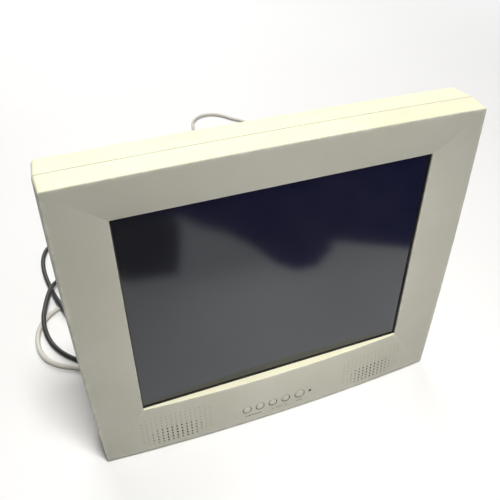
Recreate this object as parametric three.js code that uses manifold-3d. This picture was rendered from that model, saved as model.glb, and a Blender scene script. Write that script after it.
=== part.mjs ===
// A 17-inch flat desk monitor with speakers, standing on its lower rim and a fold-up rear foot.
// Millimetres. X is to the right seen from the front, Y runs from the front to the back and Z is up.
// Y is 0 on the plane of the bezel's outer front edge until the last lines centre the object.

import * as THREE from 'three';
import { mergeVertices } from 'three/addons/utils/BufferGeometryUtils.js';
import Module from 'manifold-3d';

const wasm = await Module();
wasm.setup();

// ---- driving dimensions ----

const gap = 0.3; // air left between neighbours
const wall = 2.4; // moulded wall

// head
const halfWidth = 223; // at the bezel's front edge, in the corners
const frontBottom = 2.5; // height of the front edge's lower corners
const frontTop = 388.1;
const flare = 2; // how much the casing has grown at the parting line
const sideCrown = 2.6; // outward bow of each side
const topCrown = 1.8;
const partingY = 26; // middle of the groove between bezel and rear cover
const grooveWidth = 0.9;
const rimY = 59; // flat ring of the back
const bulgeY = 86; // back face of the electronics housing

// screen opening
const openingHalf = 170;
const openingBottom = 73.2;
const openingTop = 343.8;
const lipFront = 4.2; // the face has sunk this far where it reaches the lip
const lipBack = 6;
const chinBulge = 8.4; // forward bow of the bottom edge
const ledgeFront = -3.4; // front of the ledge under the screen, in the middle
const ledgeBow = 6.9; // and how far back it has gone at the ends

// controls, all on one row
const controlZ = 27.4;
const controlFace = -7.6; // depth of the face around them
const smallButton = 5.25;
const powerButton = 6.35;
const buttons = [
  { name: 'button_auto', x: -44.7, radius: smallButton },
  { name: 'button_menu', x: -27.1, radius: smallButton },
  { name: 'button_minus', x: -9.6, radius: smallButton },
  { name: 'button_plus', x: 8.1, radius: smallButton },
  { name: 'button_power', x: 27.9, radius: powerButton },
];
const lampX = 42.7;
const lampRadius = 1.9;

// speakers behind the two grilles
const grille = { x: 134.6, z: 24, pitchX: 5.99, pitchZ: 5.36, hole: 1.2, rows: [4, 5, 5, 5, 4] };
const speaker = { half: 36, bottom: 7, top: 43, z: 25, cone: 15 };

// screen module, each part as its front and back depth
const screenStack = {
  frame: [6.4, 22], panel: [7.5, 9.3], diffuser: [9.6, 10.4], guide: [10.8, 16.6], plate: [17, 18.2],
};
const rail = { inside: 179.6, outside: 204, front: 10, back: 30, sheet: 1.2, length: 240 };

// electronics housing on the back
const housing = { half: 165, rearHalf: 154, bottom: 104, top: 345, rearTop: 330 };
const vents = { reach: 13, pitch: 10, half: 2, upper: [296, 322], lower: [116, 138] };
const chassis = { half: 160, front: 22.5, back: 56.2, bottom: 110, top: 336, sheet: 1 };
const shield = { half: 152, front: 59, back: 75.5, bottom: 113, top: 296, sheet: 0.8 };
const boards = { front: 60, back: 61.6 };
const videoX = -126;
const inletX = -84;
const audioX = -56;
const socketY = 72;

// fold-up rear foot
const hinge = { y: 78, z: 24, radius: 8, pin: 3, half: 38, bracket: 12, clearance: 1 };
const footEnd = 190;
const sole = { bottom: 4, top: 12, edge: 70, corner: 26, shoulder: 30 };
const footPad = { x: 50, radius: 8, inset: 20 };

// rubber strips under the head
const pads = { x: 150, half: 11, depth: 4.5 };
const frontPad = { y: 15, top: 1.7 };
const rearPad = { y: 49, top: 2.8 };

const label = { left: 70, right: 130, bottom: 62, top: 92, sheet: 0.3 };

// leads
const leadRadius = 3.5;
const powerExit = 52;
const videoExit = 46;
const coil = { x: -120, y: 222, inner: 30.5, outer: 46.5, height: 14.6 };
const plugStart = 250;
const plugX = coil.x + 42;
const plugZ = 12.6;

// ---- finishes ----

const finish = (color, roughness, metalness = 0) => (
  new THREE.MeshStandardMaterial({ color, roughness, metalness })
);
const cream = finish(0xd9d6c4, 0.55);
const warmCream = finish(0xe9e6cf, 0.55);
const keycap = finish(0xcfccbd, 0.45);
const black = finish(0x16171a, 0.5);
const screen = finish(0x24262c, 0.25);
const smoked = finish(0x2a1c1a, 0.3);
const acrylic = finish(0xe6edf0, 0.15);
const film = finish(0xf2f3f0, 0.6);
const steel = finish(0x9fa3a6, 0.35, 0.9);
const brass = finish(0xb08d4a, 0.35, 0.9);
const board = finish(0x1f6b3a, 0.5);
const cone = finish(0x1a1a1a, 0.8);
const rubber = finish(0x1d1d1e, 0.85);
const paleLead = finish(0xb9b4a2, 0.5);
const paper = finish(0xe4e4de, 0.7);

// ---- shape helpers ----

const monitor = new THREE.Group();

function add(name, geometry, material, x = 0, y = 0, z = 0) {
  const mesh = new THREE.Mesh(geometry, material);
  mesh.name = name;
  mesh.position.set(x, y, z);
  monitor.add(mesh);
}

// A closed mesh as a solid that can be cut and joined.
function solid(geometry) {
  const plain = geometry.clone();
  plain.deleteAttribute('normal');
  plain.deleteAttribute('uv');
  const merged = mergeVertices(plain, 1e-4);
  return new wasm.Manifold(new wasm.Mesh({
    numProp: 3,
    vertProperties: new Float32Array(merged.attributes.position.array),
    triVerts: new Uint32Array(merged.index.array),
  }));
}

function geometryOf(body) {
  const mesh = body.getMesh();
  const geometry = new THREE.BufferGeometry();
  geometry.setAttribute('position', new THREE.BufferAttribute(mesh.vertProperties, 3));
  geometry.setIndex(new THREE.BufferAttribute(mesh.triVerts, 1));
  return geometry;
}

const cut = (geometry, tools) => (
  geometryOf(tools.reduce((body, tool) => body.subtract(solid(tool)), solid(geometry)))
);
const join = (geometries) => (
  geometryOf(geometries.map(solid).reduce((body, other) => body.add(other)))
);

// A box from its lowest and highest corners.
function box(x0, x1, y0, y1, z0, z1) {
  const geometry = new THREE.BoxGeometry(x1 - x0, y1 - y0, z1 - z0);
  return geometry.translate((x0 + x1) / 2, (y0 + y1) / 2, (z0 + z1) / 2);
}

// Discs turned about Y, from a list of [radius, y] along the outside.
function turned(profile, sides = 20) {
  return new THREE.LatheGeometry(profile.map(([radius, y]) => new THREE.Vector2(radius, y)), sides);
}
const rod = (radius, y0, y1, sides) => turned([[0, y0], [radius, y0], [radius, y1], [0, y1]], sides);
const upright = (geometry) => geometry.rotateX(Math.PI / 2);
const across = (geometry) => geometry.rotateZ(-Math.PI / 2);

// A flat outline in Y and Z pushed along X, between x0 and x1.
function profileAcross(points, x0, x1) {
  const shape = new THREE.Shape(points.map(([y, z]) => new THREE.Vector2(y, z)));
  const geometry = new THREE.ExtrudeGeometry(shape, { depth: x1 - x0, bevelEnabled: false });
  const turn = new THREE.Matrix4().set(0, 0, 1, x0, 1, 0, 0, 0, 0, 1, 0, 0, 0, 0, 0, 1);
  return geometry.applyMatrix4(turn);
}

// Points round a rounded rectangle in X and Z whose sides bow outwards.
// Every ring has the same count, so rings can be skinned one to the next.
const sideSteps = [16, 8, 10, 8];
const cornerSteps = 3;

function ring({ half, bottom, top, side = 0, crown = 0, corner = 2, y, bulge }) {
  const corners = [[-half, bottom], [half, bottom], [half, top], [-half, top]];
  const bows = [0, side, crown, side];
  const points = [];
  corners.forEach(([x, z], k) => {
    const along = k * Math.PI / 2;
    const [nextX, nextZ] = corners[(k + 1) % 4];
    const length = Math.hypot(nextX - x, nextZ - z);
    const centre = [x - Math.sign(x) * corner, k < 2 ? z + corner : z - corner];
    for (let i = 0; i < cornerSteps; i += 1) {
      const angle = along - Math.PI + (Math.PI / 2) * (i / (cornerSteps - 1));
      points.push([centre[0] + corner * Math.cos(angle), centre[1] + corner * Math.sin(angle), null]);
    }
    for (let i = 1; i < sideSteps[k]; i += 1) {
      const t = i / sideSteps[k];
      const run = corner + (length - 2 * corner) * t;
      const bow = bows[k] * (1 - (2 * t - 1) ** 2);
      points.push([
        x + Math.cos(along) * run + Math.sin(along) * bow,
        z + Math.sin(along) * run - Math.cos(along) * bow,
        k === 0 ? t : null,
      ]);
    }
  });
  return points.map(([x, z, t]) => new THREE.Vector3(x, t === null || !bulge ? y : bulge(t, y), z));
}

// A skin over rings. A loop joins the last ring to the first, else both ends are capped.
function skin(rings, loop) {
  const count = rings[0].length;
  const flat = rings.flat();
  const index = [];
  const last = loop ? rings.length : rings.length - 1;
  for (let r = 0; r < last; r += 1) {
    const a = r * count;
    const b = ((r + 1) % rings.length) * count;
    for (let i = 0; i < count; i += 1) {
      const j = (i + 1) % count;
      index.push(a + i, b + i, a + j, a + j, b + i, b + j);
    }
  }
  if (!loop) {
    [[0, false], [(rings.length - 1) * count, true]].forEach(([start, far]) => {
      const outline = flat.slice(start, start + count).map((p) => new THREE.Vector2(p.x, p.z));
      THREE.ShapeUtils.triangulateShape(outline, []).forEach(([p, q, s]) => {
        index.push(start + p, start + (far ? s : q), start + (far ? q : s));
      });
    });
  }
  const geometry = new THREE.BufferGeometry();
  geometry.setAttribute('position', new THREE.Float32BufferAttribute(flat.flatMap((p) => p.toArray()), 3));
  geometry.setIndex(index);
  return outward(geometry);
}

// Turns every face over when a mesh encloses negative volume.
function outward(geometry) {
  const { array } = geometry.attributes.position;
  const index = geometry.index.array;
  const corner = (i) => new THREE.Vector3().fromArray(array, index[i] * 3);
  let volume = 0;
  for (let i = 0; i < index.length; i += 3) {
    volume += corner(i).dot(corner(i + 1).cross(corner(i + 2)));
  }
  if (volume < 0) {
    for (let i = 0; i < index.length; i += 3) {
      [index[i + 1], index[i + 2]] = [index[i + 2], index[i + 1]];
    }
  }
  return geometry;
}

// Leads: a section pushed along a smooth curve through hand-chosen points.
function lead(points, radius, steps, sides = 8) {
  const path = new THREE.CatmullRomCurve3(points.map((p) => new THREE.Vector3(...p)), false, 'centripetal');
  const section = new THREE.Shape();
  for (let i = 0; i < sides; i += 1) {
    const angle = 2 * Math.PI * (i / sides);
    section[i ? 'lineTo' : 'moveTo'](radius * Math.cos(angle), radius * Math.sin(angle));
  }
  section.closePath();
  return new THREE.ExtrudeGeometry(section, { steps, extrudePath: path, bevelEnabled: false });
}

// ---- casing ----

const frontEdge = (inset, y) => ring({
  half: halfWidth - inset,
  bottom: frontBottom + inset,
  top: frontTop - inset,
  side: sideCrown,
  crown: topCrown,
  y,
  bulge: (t, depth) => depth - chinBulge * (1 - (2 * t - 1) ** 2),
});
const lip = (outset, y, ledge) => ring({
  half: openingHalf + outset,
  bottom: openingBottom - outset,
  top: openingTop + outset,
  corner: 1 + outset,
  y,
  bulge: ledge ? (t, depth) => depth - lipFront + ledgeFront + ledgeBow * (2 * t - 1) ** 2 : null,
});
const parting = (inset, y, shrink = 0) => ring({
  half: halfWidth + flare - inset - shrink,
  bottom: frontBottom - flare + inset + shrink,
  top: frontTop + flare - inset - shrink,
  side: sideCrown,
  crown: topCrown,
  corner: 4,
  y,
});

// The face sinks from the front edge to the lip, slowly at first.
function face(s, thickness) {
  const outer = frontEdge(0, 0);
  const inner = lip(0, lipFront, true);
  return outer.map((p, i) => new THREE.Vector3(
    p.x + (inner[i].x - p.x) * s,
    p.y + (inner[i].y - p.y) * s * s + thickness,
    p.z + (inner[i].z - p.z) * s,
  ));
}

const bezelShell = () => skin([
  parting(0, partingY - grooveWidth / 2),
  frontEdge(0, 1.5),
  frontEdge(0.45, 0.45),
  face(0.03, 0),
  face(0.4, 0),
  face(0.72, 0),
  face(0.985, 0),
  lip(0, lipFront + 0.7, true),
  lip(0, lipBack),
  lip(wall, lipBack),
  lip(wall, lipBack - 0.4).map((p, i) => {
    const shelf = lip(wall, lipFront, true)[i];
    return new THREE.Vector3(p.x, Math.min(p.y, shelf.y + wall), p.z);
  }),
  face(0.88, wall - 0.2),
  face(0.5, wall - 0.1),
  frontEdge(wall, wall + 0.4),
  parting(wall, partingY - grooveWidth / 2),
], true);

function grilleHoles(side) {
  const holes = [];
  grille.rows.forEach((reach, row) => {
    for (let column = -reach; column <= reach; column += 1) {
      const hole = rod(grille.hole, -20, 12, 6);
      const z = grille.z + (row - 2) * grille.pitchZ;
      holes.push(hole.translate(side * grille.x + column * grille.pitchX, 0, z));
    }
  });
  return holes;
}

const sides = [['left', -1], ['right', 1]];

function pad(side, { y, top }, grow = 0) {
  const x = side * pads.x;
  const halfX = pads.half + grow;
  const halfY = pads.depth + grow;
  return box(x - halfX, x + halfX, y - halfY, y + halfY, grow ? -1 : 0, top + grow);
}

function makeBezel() {
  const tools = [
    ...grilleHoles(-1),
    ...grilleHoles(1),
    ...buttons.map(({ x, radius }) => rod(radius + 0.45, -20, 12, 20).translate(x, 0, controlZ)),
    rod(lampRadius + gap, -20, 12, 12).translate(lampX, 0, controlZ),
    ...sides.map(([, side]) => pad(side, frontPad, gap)),
  ];
  add('front_bezel', cut(bezelShell(), tools), cream);
}

const housingRing = (inset, y, rear) => ring({
  half: (rear ? housing.rearHalf : housing.half) - inset,
  bottom: housing.bottom + inset,
  top: (rear ? housing.rearTop : housing.top) - inset,
  corner: 12,
  y,
});

const coverShell = () => skin([
  housingRing(4, bulgeY, true),
  housingRing(0.8, bulgeY - 1.2, true),
  housingRing(0, bulgeY - 4, true),
  housingRing(0, rimY, false),
  parting(3.2, rimY, 1.6),
  parting(0.9, rimY - 0.9, 1.6),
  parting(0, rimY - 3.2, 1.5),
  parting(0, partingY + grooveWidth / 2),
  parting(wall, partingY + grooveWidth / 2),
  parting(wall, rimY - 3.6, 1.5),
  parting(wall + 3, rimY - wall, 1.5),
  housingRing(wall, rimY - wall, false),
  housingRing(wall, bulgeY - 5, true),
  housingRing(5, bulgeY - wall, true),
], false);

const caseScrews = [[-205, 330], [205, 330], [-205, 52], [205, 52]];
const mountHoles = [[-50, 176], [50, 176], [-50, 276], [50, 276]];

// The lower row of slots leaves room for the arm mount's middle.
function ventSlots() {
  const { reach, pitch, half, upper, lower } = vents;
  const slot = (x, [z0, z1]) => box(x - half, x + half, bulgeY - 9, bulgeY + 4, z0, z1);
  const slots = [];
  for (let i = -reach; i <= reach; i += 1) {
    slots.push(slot(i * pitch, upper));
    if (Math.abs(i) > 1) slots.push(slot(i * pitch, lower));
  }
  return slots;
}

function makeRearCover() {
  const tools = [
    ...ventSlots(),
    ...caseScrews.map(([x, z]) => rod(2, rimY - 9, rimY + 9, 12).translate(x, 0, z)),
    ...mountHoles.map(([x, z]) => rod(2.2, bulgeY - 9, bulgeY + 9, 12).translate(x, 0, z)),
    box(videoX - 16, videoX + 16, socketY - 7, socketY + 7, 90, 112),
    box(inletX - 14.3, inletX + 14.3, socketY - 10.3, socketY + 10.3, 90, 112),
    upright(rod(4.3, 90, 112, 16)).translate(audioX, socketY, 0),
    ...sides.map(([, side]) => pad(side, rearPad, gap)),
  ];
  add('rear_cover', cut(coverShell(), tools), warmCream);
}

function makeFasteners() {
  caseScrews.forEach(([x, z], i) => {
    const shank = [[0, 34], [1.6, 34], [1.6, rimY + gap], [3.4, rimY + gap]];
    const head = [[3.4, rimY + 1.2], [2.4, rimY + 2.3], [0, rimY + 2.3]];
    add(`case_screw_${i + 1}`, turned([...shank, ...head], 12), steel, x, 0, z);
  });
  mountHoles.forEach(([x, z], i) => {
    const outside = [[3.2, 76.5], [3.2, bulgeY - wall - gap], [1.7, bulgeY - wall - gap]];
    add(`mount_insert_${i + 1}`, turned([[1.7, 76.5], ...outside, [1.7, 76.5]], 12), brass, x, 0, z);
  });
  sides.forEach(([name, side]) => {
    add(`pad_front_${name}`, pad(side, frontPad), rubber);
    add(`pad_rear_${name}`, pad(side, rearPad), rubber);
  });
  const { left, right, bottom, top, sheet } = label;
  add('rating_label', box(left, right, rimY + gap, rimY + gap + sheet, bottom, top), paper);
}

// ---- screen module, from the front to the back ----

const screenZ = (openingBottom + openingTop) / 2;
const sheet = (half, height, [y0, y1]) => box(-half, half, y0, y1, screenZ - height, screenZ + height);
const square = (half, height, y) => [[-1, -1], [1, -1], [1, 1], [-1, 1]].map(
  ([x, z]) => new THREE.Vector3(x * half, y, screenZ + z * height),
);

// An upright angle of folded sheet beside the screen module.
function railAt(side) {
  const { inside, outside, front, back, sheet: thick, length } = rail;
  const section = [[inside, front], [inside, back], [outside, back], [outside, back - thick],
    [inside + thick, back - thick], [inside + thick, front]];
  const shape = new THREE.Shape(section.map(([x, y]) => new THREE.Vector2(side * x, y)));
  return new THREE.ExtrudeGeometry(shape, { depth: length, bevelEnabled: false });
}

function makeScreenModule() {
  const [front, back] = screenStack.frame;
  const frame = [
    square(179.2, 148.2, back),
    square(179.2, 148.2, front),
    square(168.6, 134.2, front),
    square(168.6, 134.2, front + 0.8),
    square(178.4, 147.4, front + 0.8),
    square(178.4, 147.4, back),
  ];
  add('screen_frame', skin(frame, true), black);
  add('display_panel', sheet(176, 145, screenStack.panel), screen);
  add('diffuser_sheet', sheet(175, 144, screenStack.diffuser), film);
  add('light_guide', sheet(172, 138, screenStack.guide), acrylic);
  [['top', 1], ['bottom', -1]].forEach(([name, side]) => {
    add(`backlight_lamp_${name}`, across(rod(1.6, -170, 170, 10)), film, 0, 13.7, screenZ + side * 142);
  });
  add('screen_back_plate', sheet(177, 146.5, screenStack.plate), steel);
  sides.forEach(([name, side]) => {
    add(`panel_bracket_${name}`, railAt(side), steel, 0, 0, screenZ - rail.length / 2);
  });
}

// ---- boards and sockets ----

// A folded tray that is open towards the front.
function openPan({ half, front, back, bottom, top, sheet: thick }, tools) {
  const inside = box(
    thick - half, half - thick, front - 5, back - thick, bottom + thick, top - thick,
  );
  return cut(box(-half, half, front, back, bottom, top), [inside, ...tools]);
}
const circuit = (x0, x1, z0, z1) => box(x0, x1, boards.front, boards.back, z0, z1);

function makeElectronics() {
  add('board_chassis', openPan(chassis, []), steel);
  add('main_board', circuit(-150, -12, 116, 236), board);
  add('power_board', circuit(-4, 150, 116, 236), board);
  add('inverter_board', circuit(-150, 150, 246, 292), board);
  add('transformer', box(60, 96, boards.back + 0.4, 74, 160, 192), black);
  add('heat_sink', box(10, 44, boards.back + 0.4, 73, 180, 226), steel);
  add('shield_cover', openPan(shield, [
    box(videoX - 16, videoX + 16, 50, 80, 100, 124),
    box(inletX - 14.5, inletX + 14.5, 50, 83, 100, 132),
  ]), steel);
}

function makeSockets() {
  const flange = box(videoX - 15.4, videoX + 15.4, socketY - 6.2, socketY + 6.2, 106.6, 108);
  const rear = box(videoX - 12, videoX + 12, socketY - 6, socketY + 6, 107.5, 119);
  const nose = box(videoX - 8.2, videoX + 8.2, socketY - 4.1, socketY + 4.1, 101.5, 107);
  add('video_socket', join([flange, rear, nose]), steel);
  const block = box(inletX - 14, inletX + 14, socketY - 10, socketY + 10, 103.5, 128);
  const well = box(inletX - 12, inletX + 12, socketY - 8.2, socketY + 8.2, 90, 122);
  add('power_inlet', cut(block, [well]), black);
  const barrel = [[1.8, 103], [4, 103], [4, 112.5], [1.8, 112.5], [1.8, 103]];
  add('audio_jack', upright(turned(barrel, 14)), black, audioX, socketY, 0);
}

// ---- controls and speakers ----

function makeControls() {
  buttons.forEach(({ name, x, radius }) => {
    const dome = [[0, -0.8], [radius * 0.6, -0.65], [radius - 0.7, -0.3], [radius, 0.3]];
    const cap = dome.map(([r, y]) => [r, controlFace + y]);
    const collar = [[radius, -4.1], [radius + 1.2, -4.1], [radius + 1.2, -3.1]];
    const stem = [[2.2, -3.1], [2.2, 2.6], [0, 2.6]];
    add(name, turned([...cap, ...collar, ...stem], 20), keycap, x, 0, controlZ);
  });
  add('power_lamp', rod(lampRadius, controlFace - 0.3, 3.8, 12), smoked, lampX, 0, controlZ);
  add('button_board', box(-58, 52, 4.2, 5.8, 14, 38), board);
}

function makeSpeakers() {
  sides.forEach(([name, side]) => {
    const x = side * grille.x;
    const disc = (radius, y0, y1) => rod(radius, y0, y1, 16).translate(x, 0, speaker.z);
    const plate = box(x - speaker.half, x + speaker.half, 2.2, 7, speaker.bottom, speaker.top);
    const basket = cut(plate, [disc(speaker.cone, 1, 8)]);
    const driver = join([basket, disc(speaker.cone + 1, 5.2, 7), disc(13, 5.5, 22)]);
    add(`speaker_${name}`, cut(driver, [disc(speaker.cone, 1, 5)]), black);
    const bowl = [[0, 3.8], [6, 3.8], [14.4, 1.6], [14.6, 2.3], [6.4, 4.7], [0, 4.7]];
    add(`speaker_cone_${name}`, turned(bowl, 16), cone, x, 0, speaker.z);
  });
}

// ---- fold-up rear foot ----

const eye = (x0, x1) => across(rod(hinge.radius, x0, x1, 20)).translate(0, hinge.y, hinge.z);
const bore = (x0, x1) => across(rod(hinge.pin + gap, x0, x1, 16)).translate(0, hinge.y, hinge.z);

function hingeBracket(side) {
  const { y, z, radius, half, bracket, clearance } = hinge;
  const near = half + clearance;
  const [x0, x1] = side < 0 ? [-near - bracket, -near] : [near, near + bracket];
  const arm = profileAcross([[rimY + gap, z - 14], [rimY + 4, z - 14], [y, z - radius], [y, z + radius],
    [rimY + 4, z + 14], [rimY + gap, z + 14]], x0, x1);
  return cut(join([arm, eye(x0, x1)]), [bore(x0 - 1, x1 + 1)]);
}

function footSole() {
  const { bottom, top, edge, corner, shoulder } = sole;
  const { y, half } = hinge;
  const outline = new THREE.Shape();
  outline.moveTo(-half, y + 6);
  outline.lineTo(half, y + 6);
  outline.lineTo(edge, y + shoulder);
  outline.lineTo(edge, footEnd - corner);
  outline.absarc(edge - corner, footEnd - corner, corner, 0, Math.PI / 2);
  outline.lineTo(-edge + corner, footEnd);
  outline.absarc(-edge + corner, footEnd - corner, corner, Math.PI / 2, Math.PI);
  outline.lineTo(-edge, y + shoulder);
  const settings = { depth: top - bottom, bevelEnabled: false, curveSegments: 5 };
  return new THREE.ExtrudeGeometry(outline, settings).translate(0, 0, bottom);
}

function makeRearFoot() {
  const { y, z, radius, half, bracket } = hinge;
  const { bottom, top } = sole;
  sides.forEach(([name, side]) => {
    add(`hinge_bracket_${name}`, hingeBracket(side), warmCream);
    const disc = upright(rod(footPad.radius, 0, bottom - gap, 14));
    add(`foot_pad_${name}`, disc, rubber, side * footPad.x, footEnd - footPad.inset, 0);
  });
  add('hinge_pin', across(rod(hinge.pin, -half - bracket, half + bracket, 16)), steel, 0, y, z);
  const web = profileAcross([[y - radius, z], [y - 6, bottom], [y + 20, bottom], [y + 20, top],
    [y + radius, z]], -half, half);
  const foot = join([web, eye(-half, half), footSole()]);
  add('rear_foot', cut(foot, [bore(-half - 1, half + 1)]), warmCream);
}

// ---- leads ----

const powerRoute = [
  [inletX, socketY, powerExit], [inletX, socketY, 45], [inletX, socketY, 37.9], [-85.8, 73.8, 25.1],
  [-90.9, 78.9, 14.5], [-98.6, 86.6, 7.2], [-109, 97, 4.3], [-127, 110.5, 3.9], [-151, 124.5, 3.9],
  [-180, 141, 3.9], [-212, 160, 3.9], [-239, 181, 3.9], [-257, 205, 3.9], [-267, 230, 4.4],
  [-270.5, 252, 8.5], [-269.5, 274, 11.7], [-266, 296, 9.4], [-260, 318, 10], [-251.5, 338, 11.7],
  [-239, 357, 8.5], [-222, 378, 4.2], [-204, 397, 3.9], [-187, 416, 3.9], [-178.5, 436, 3.9],
  [-180.6, 454, 3.9], [-190.5, 469, 3.9], [-206, 476.5, 3.9], [-223, 475.5, 3.9], [-238, 467, 3.9],
  [-249, 452.5, 3.9], [-255.5, 435, 3.9], [-258.5, 411, 3.9], [-257.5, 382, 3.9], [-254, 355, 3.9],
  [-250, 331, 4.2], [-243.5, 299, 11.7], [-236, 273, 7.5], [-225, 244, 3.9], [-208, 211, 3.9],
  [-183, 187, 3.9], [-148.3, 180.3, 3.9],
];
const videoRoute = [
  [videoX, socketY, videoExit], [videoX, socketY, 42], [videoX, socketY, 37.9], [-128, 73.7, 24.9],
  [-133.6, 78.5, 13.9], [-142, 85.6, 6.5], [-151.9, 94, 4], [-169, 108, 3.9], [-190, 125, 3.9],
  [-214, 146, 3.9], [-238, 163, 3.9], [-257, 174, 3.9], [-273, 190, 3.9], [-282, 212, 3.9],
  [-283, 240, 3.9], [-276, 264, 3.9], [-262, 283, 3.9], [-243, 296, 3.9], [-215, 310, 3.9],
  [-176, 326, 3.9], [-126, 337, 3.9], [-70, 344, 3.9], [-18, 362, 3.9], [10, 402, 3.9], [0, 450, 3.9],
  [-50, 484, 3.9], [-88, 520, 3.9], [-88, 572, 3.9], [-46, 610, 3.9], [14, 632, 3.9], [70, 662, 3.9],
  [104, 712, 3.9], [119, 766, 3.9], [128, 812, 3.9], [137, 844, 3.9], [154, 864, 3.9], [175, 872, 3.9],
  [198, 867, 3.9], [217, 850, 3.9], [231, 830, 3.9], [250, 808, 3.9], [262, 780, 5.6], [264, 752, 7.4],
];

// A moulded connector hanging under a socket: body, then a tapering strain relief.
function hangingConnector(halfX, halfY, top, bodyEnd, exit) {
  const body = box(-halfX, halfX, -halfY, halfY, bodyEnd, top);
  const relief = upright(turned([[0, exit], [4.6, exit], [6.4, bodyEnd + 1], [0, bodyEnd + 1]], 12));
  return join([body, relief]);
}

function makePowerLead() {
  const nose = box(-11.5, 11.5, -7.7, 7.7, 102, 119);
  const body = hangingConnector(13, 10.5, 103, 78, powerExit + gap);
  add('power_connector', join([body, nose]), rubber, inletX, socketY, 0);
  add('power_lead', lead(powerRoute, leadRadius, 78), rubber);
  const { inner, outer, height, x, y } = coil;
  const turns = [[inner, 0.1], [outer, 0.1], [outer, height], [inner, height], [inner, 0.1]];
  add('power_lead_coil', upright(turned(turns, 28)), rubber, x, y, 0);
  const grip = [[0, 0], [4.6, 0], [6.2, 18], [12.4, 26], [12.4, 50], [0, 50]];
  const blades = [[-6.4, 4, 0.8, 3.1], [6.4, 4, 0.8, 3.1], [0, -6.2, 2.3, 2.3]];
  const pins = blades.map(([px, pz, w, h]) => box(px - w, px + w, 49, 68, pz - h, pz + h));
  add('mains_plug', join([turned(grip, 16), ...pins]), rubber, plugX, plugStart, plugZ);
}

function makeVideoLead() {
  const recess = box(-8.8, 8.8, -4.7, 4.7, 101, 120);
  const body = cut(hangingConnector(19, 7.5, 103.3, 68, videoExit + gap), [recess]);
  add('video_connector', body, paleLead, videoX, socketY, 0);
  add('video_lead', lead(videoRoute, leadRadius, 78), paleLead);
  const hood = box(-19, 19, -56, -22, -7.4, 7.4);
  const relief = turned([[0, -23], [6, -23], [4.6, 0], [0, 0]], 12);
  const shell = box(-8.4, 8.4, -62, -55, -4.2, 4.2);
  const screws = [-15, 15].map((x) => rod(2.6, -60, -55, 10).translate(x, 0, 0));
  const end = videoRoute[videoRoute.length - 1];
  const plug = join([hood, relief, shell, ...screws]);
  add('video_plug', plug, paleLead, end[0] + 0.5, end[1] - gap, 7.5);
}

makeBezel();
makeRearCover();
makeFasteners();
makeScreenModule();
makeElectronics();
makeSockets();
makeControls();
makeSpeakers();
makeRearFoot();
makePowerLead();
makeVideoLead();

// The origin is under the middle of the object as it stands, leads left out.
monitor.position.y = -(footEnd - chinBulge) / 2;

export default monitor;
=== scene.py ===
import math
import bpy
import bmesh
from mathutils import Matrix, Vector
from mathutils.bvhtree import BVHTree


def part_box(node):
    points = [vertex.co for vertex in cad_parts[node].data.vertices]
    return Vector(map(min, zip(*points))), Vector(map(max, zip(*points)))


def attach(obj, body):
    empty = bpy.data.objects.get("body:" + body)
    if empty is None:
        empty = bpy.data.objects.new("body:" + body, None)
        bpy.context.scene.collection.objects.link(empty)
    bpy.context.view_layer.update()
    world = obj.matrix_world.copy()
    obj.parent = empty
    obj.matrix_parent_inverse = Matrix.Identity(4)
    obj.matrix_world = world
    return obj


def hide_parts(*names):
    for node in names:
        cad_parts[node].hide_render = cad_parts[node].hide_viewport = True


# Flat desk monitor with speakers and two leads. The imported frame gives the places; sizes below are
# in millimetres, with y counted from the front edge of the bezel towards the back.

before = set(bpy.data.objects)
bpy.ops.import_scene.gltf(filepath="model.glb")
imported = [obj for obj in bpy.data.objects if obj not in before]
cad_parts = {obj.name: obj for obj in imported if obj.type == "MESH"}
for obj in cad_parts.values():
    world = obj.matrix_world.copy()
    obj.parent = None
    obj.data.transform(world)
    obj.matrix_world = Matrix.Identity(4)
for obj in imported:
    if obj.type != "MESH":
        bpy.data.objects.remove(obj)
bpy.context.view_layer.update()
mm = 0.001
scene = bpy.context.scene

head = {
    "halfWidth": 223.0, "frontBottom": 2.5, "frontTop": 388.1,
    "flare": 2.0, "sideCrown": 2.6, "topCrown": 1.8,
    "groove": 26.0, "grooveWidth": 0.9, "wall": 2.4,
    "chinBulge": 8.4, "ledgeFront": -3.4, "ledgeBow": 6.9,
    "openingHalf": 170.0, "openingBottom": 73.2, "openingTop": 343.8,
    "lipFront": 4.2, "lipBack": 6.0, "sink": 2.6,
    # corner radii, the first two each with the least that an inset leaves
    "frontCorner": (2.6, 2.0), "partingCorner": (4.0, 1.5), "lipCorner": 1.0,
}
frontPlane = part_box("front_bezel")[0].y + head["chinBulge"] * mm


def spot(x, y, z):
    return Vector((x * mm, frontPlane + y * mm, z * mm))


cameraLook = {
    "place": (-0.2054, -0.5304, 0.6469),
    "turn": (51.82, 0.09, -20.97),  # degrees
    "lens": 42.48,
}


def makeCamera():
    data = bpy.data.cameras.new("viewCamera")
    data.lens = cameraLook["lens"]
    data.sensor_width = 36.0
    data.clip_start = 0.01
    camera = bpy.data.objects.new("viewCamera", data)
    scene.collection.objects.link(camera)
    camera.location = cameraLook["place"]
    camera.rotation_euler = [math.radians(angle) for angle in cameraLook["turn"]]
    scene.camera = camera
    return camera


def addNode(tree, kind, values=None, **settings):
    node = tree.nodes.new(kind)
    for key, value in settings.items():
        setattr(node, key, value)
    for key, value in (values or {}).items():
        node.inputs[key].default_value = value
    return node


def newGroup(name, kind, sockets):
    tree = bpy.data.node_groups.new(name, kind)
    for label, inOut, socketType, value in sockets:
        item = tree.interface.new_socket(name=label, in_out=inOut, socket_type=socketType)
        if value is not None:
            item.default_value = value
    return tree, tree.nodes.new("NodeGroupInput"), tree.nodes.new("NodeGroupOutput")


# places of a colour mix's sockets, which share their names with those of other kinds
mixSockets = {"factor": 0, "first": 6, "second": 7, "result": 2}


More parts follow.
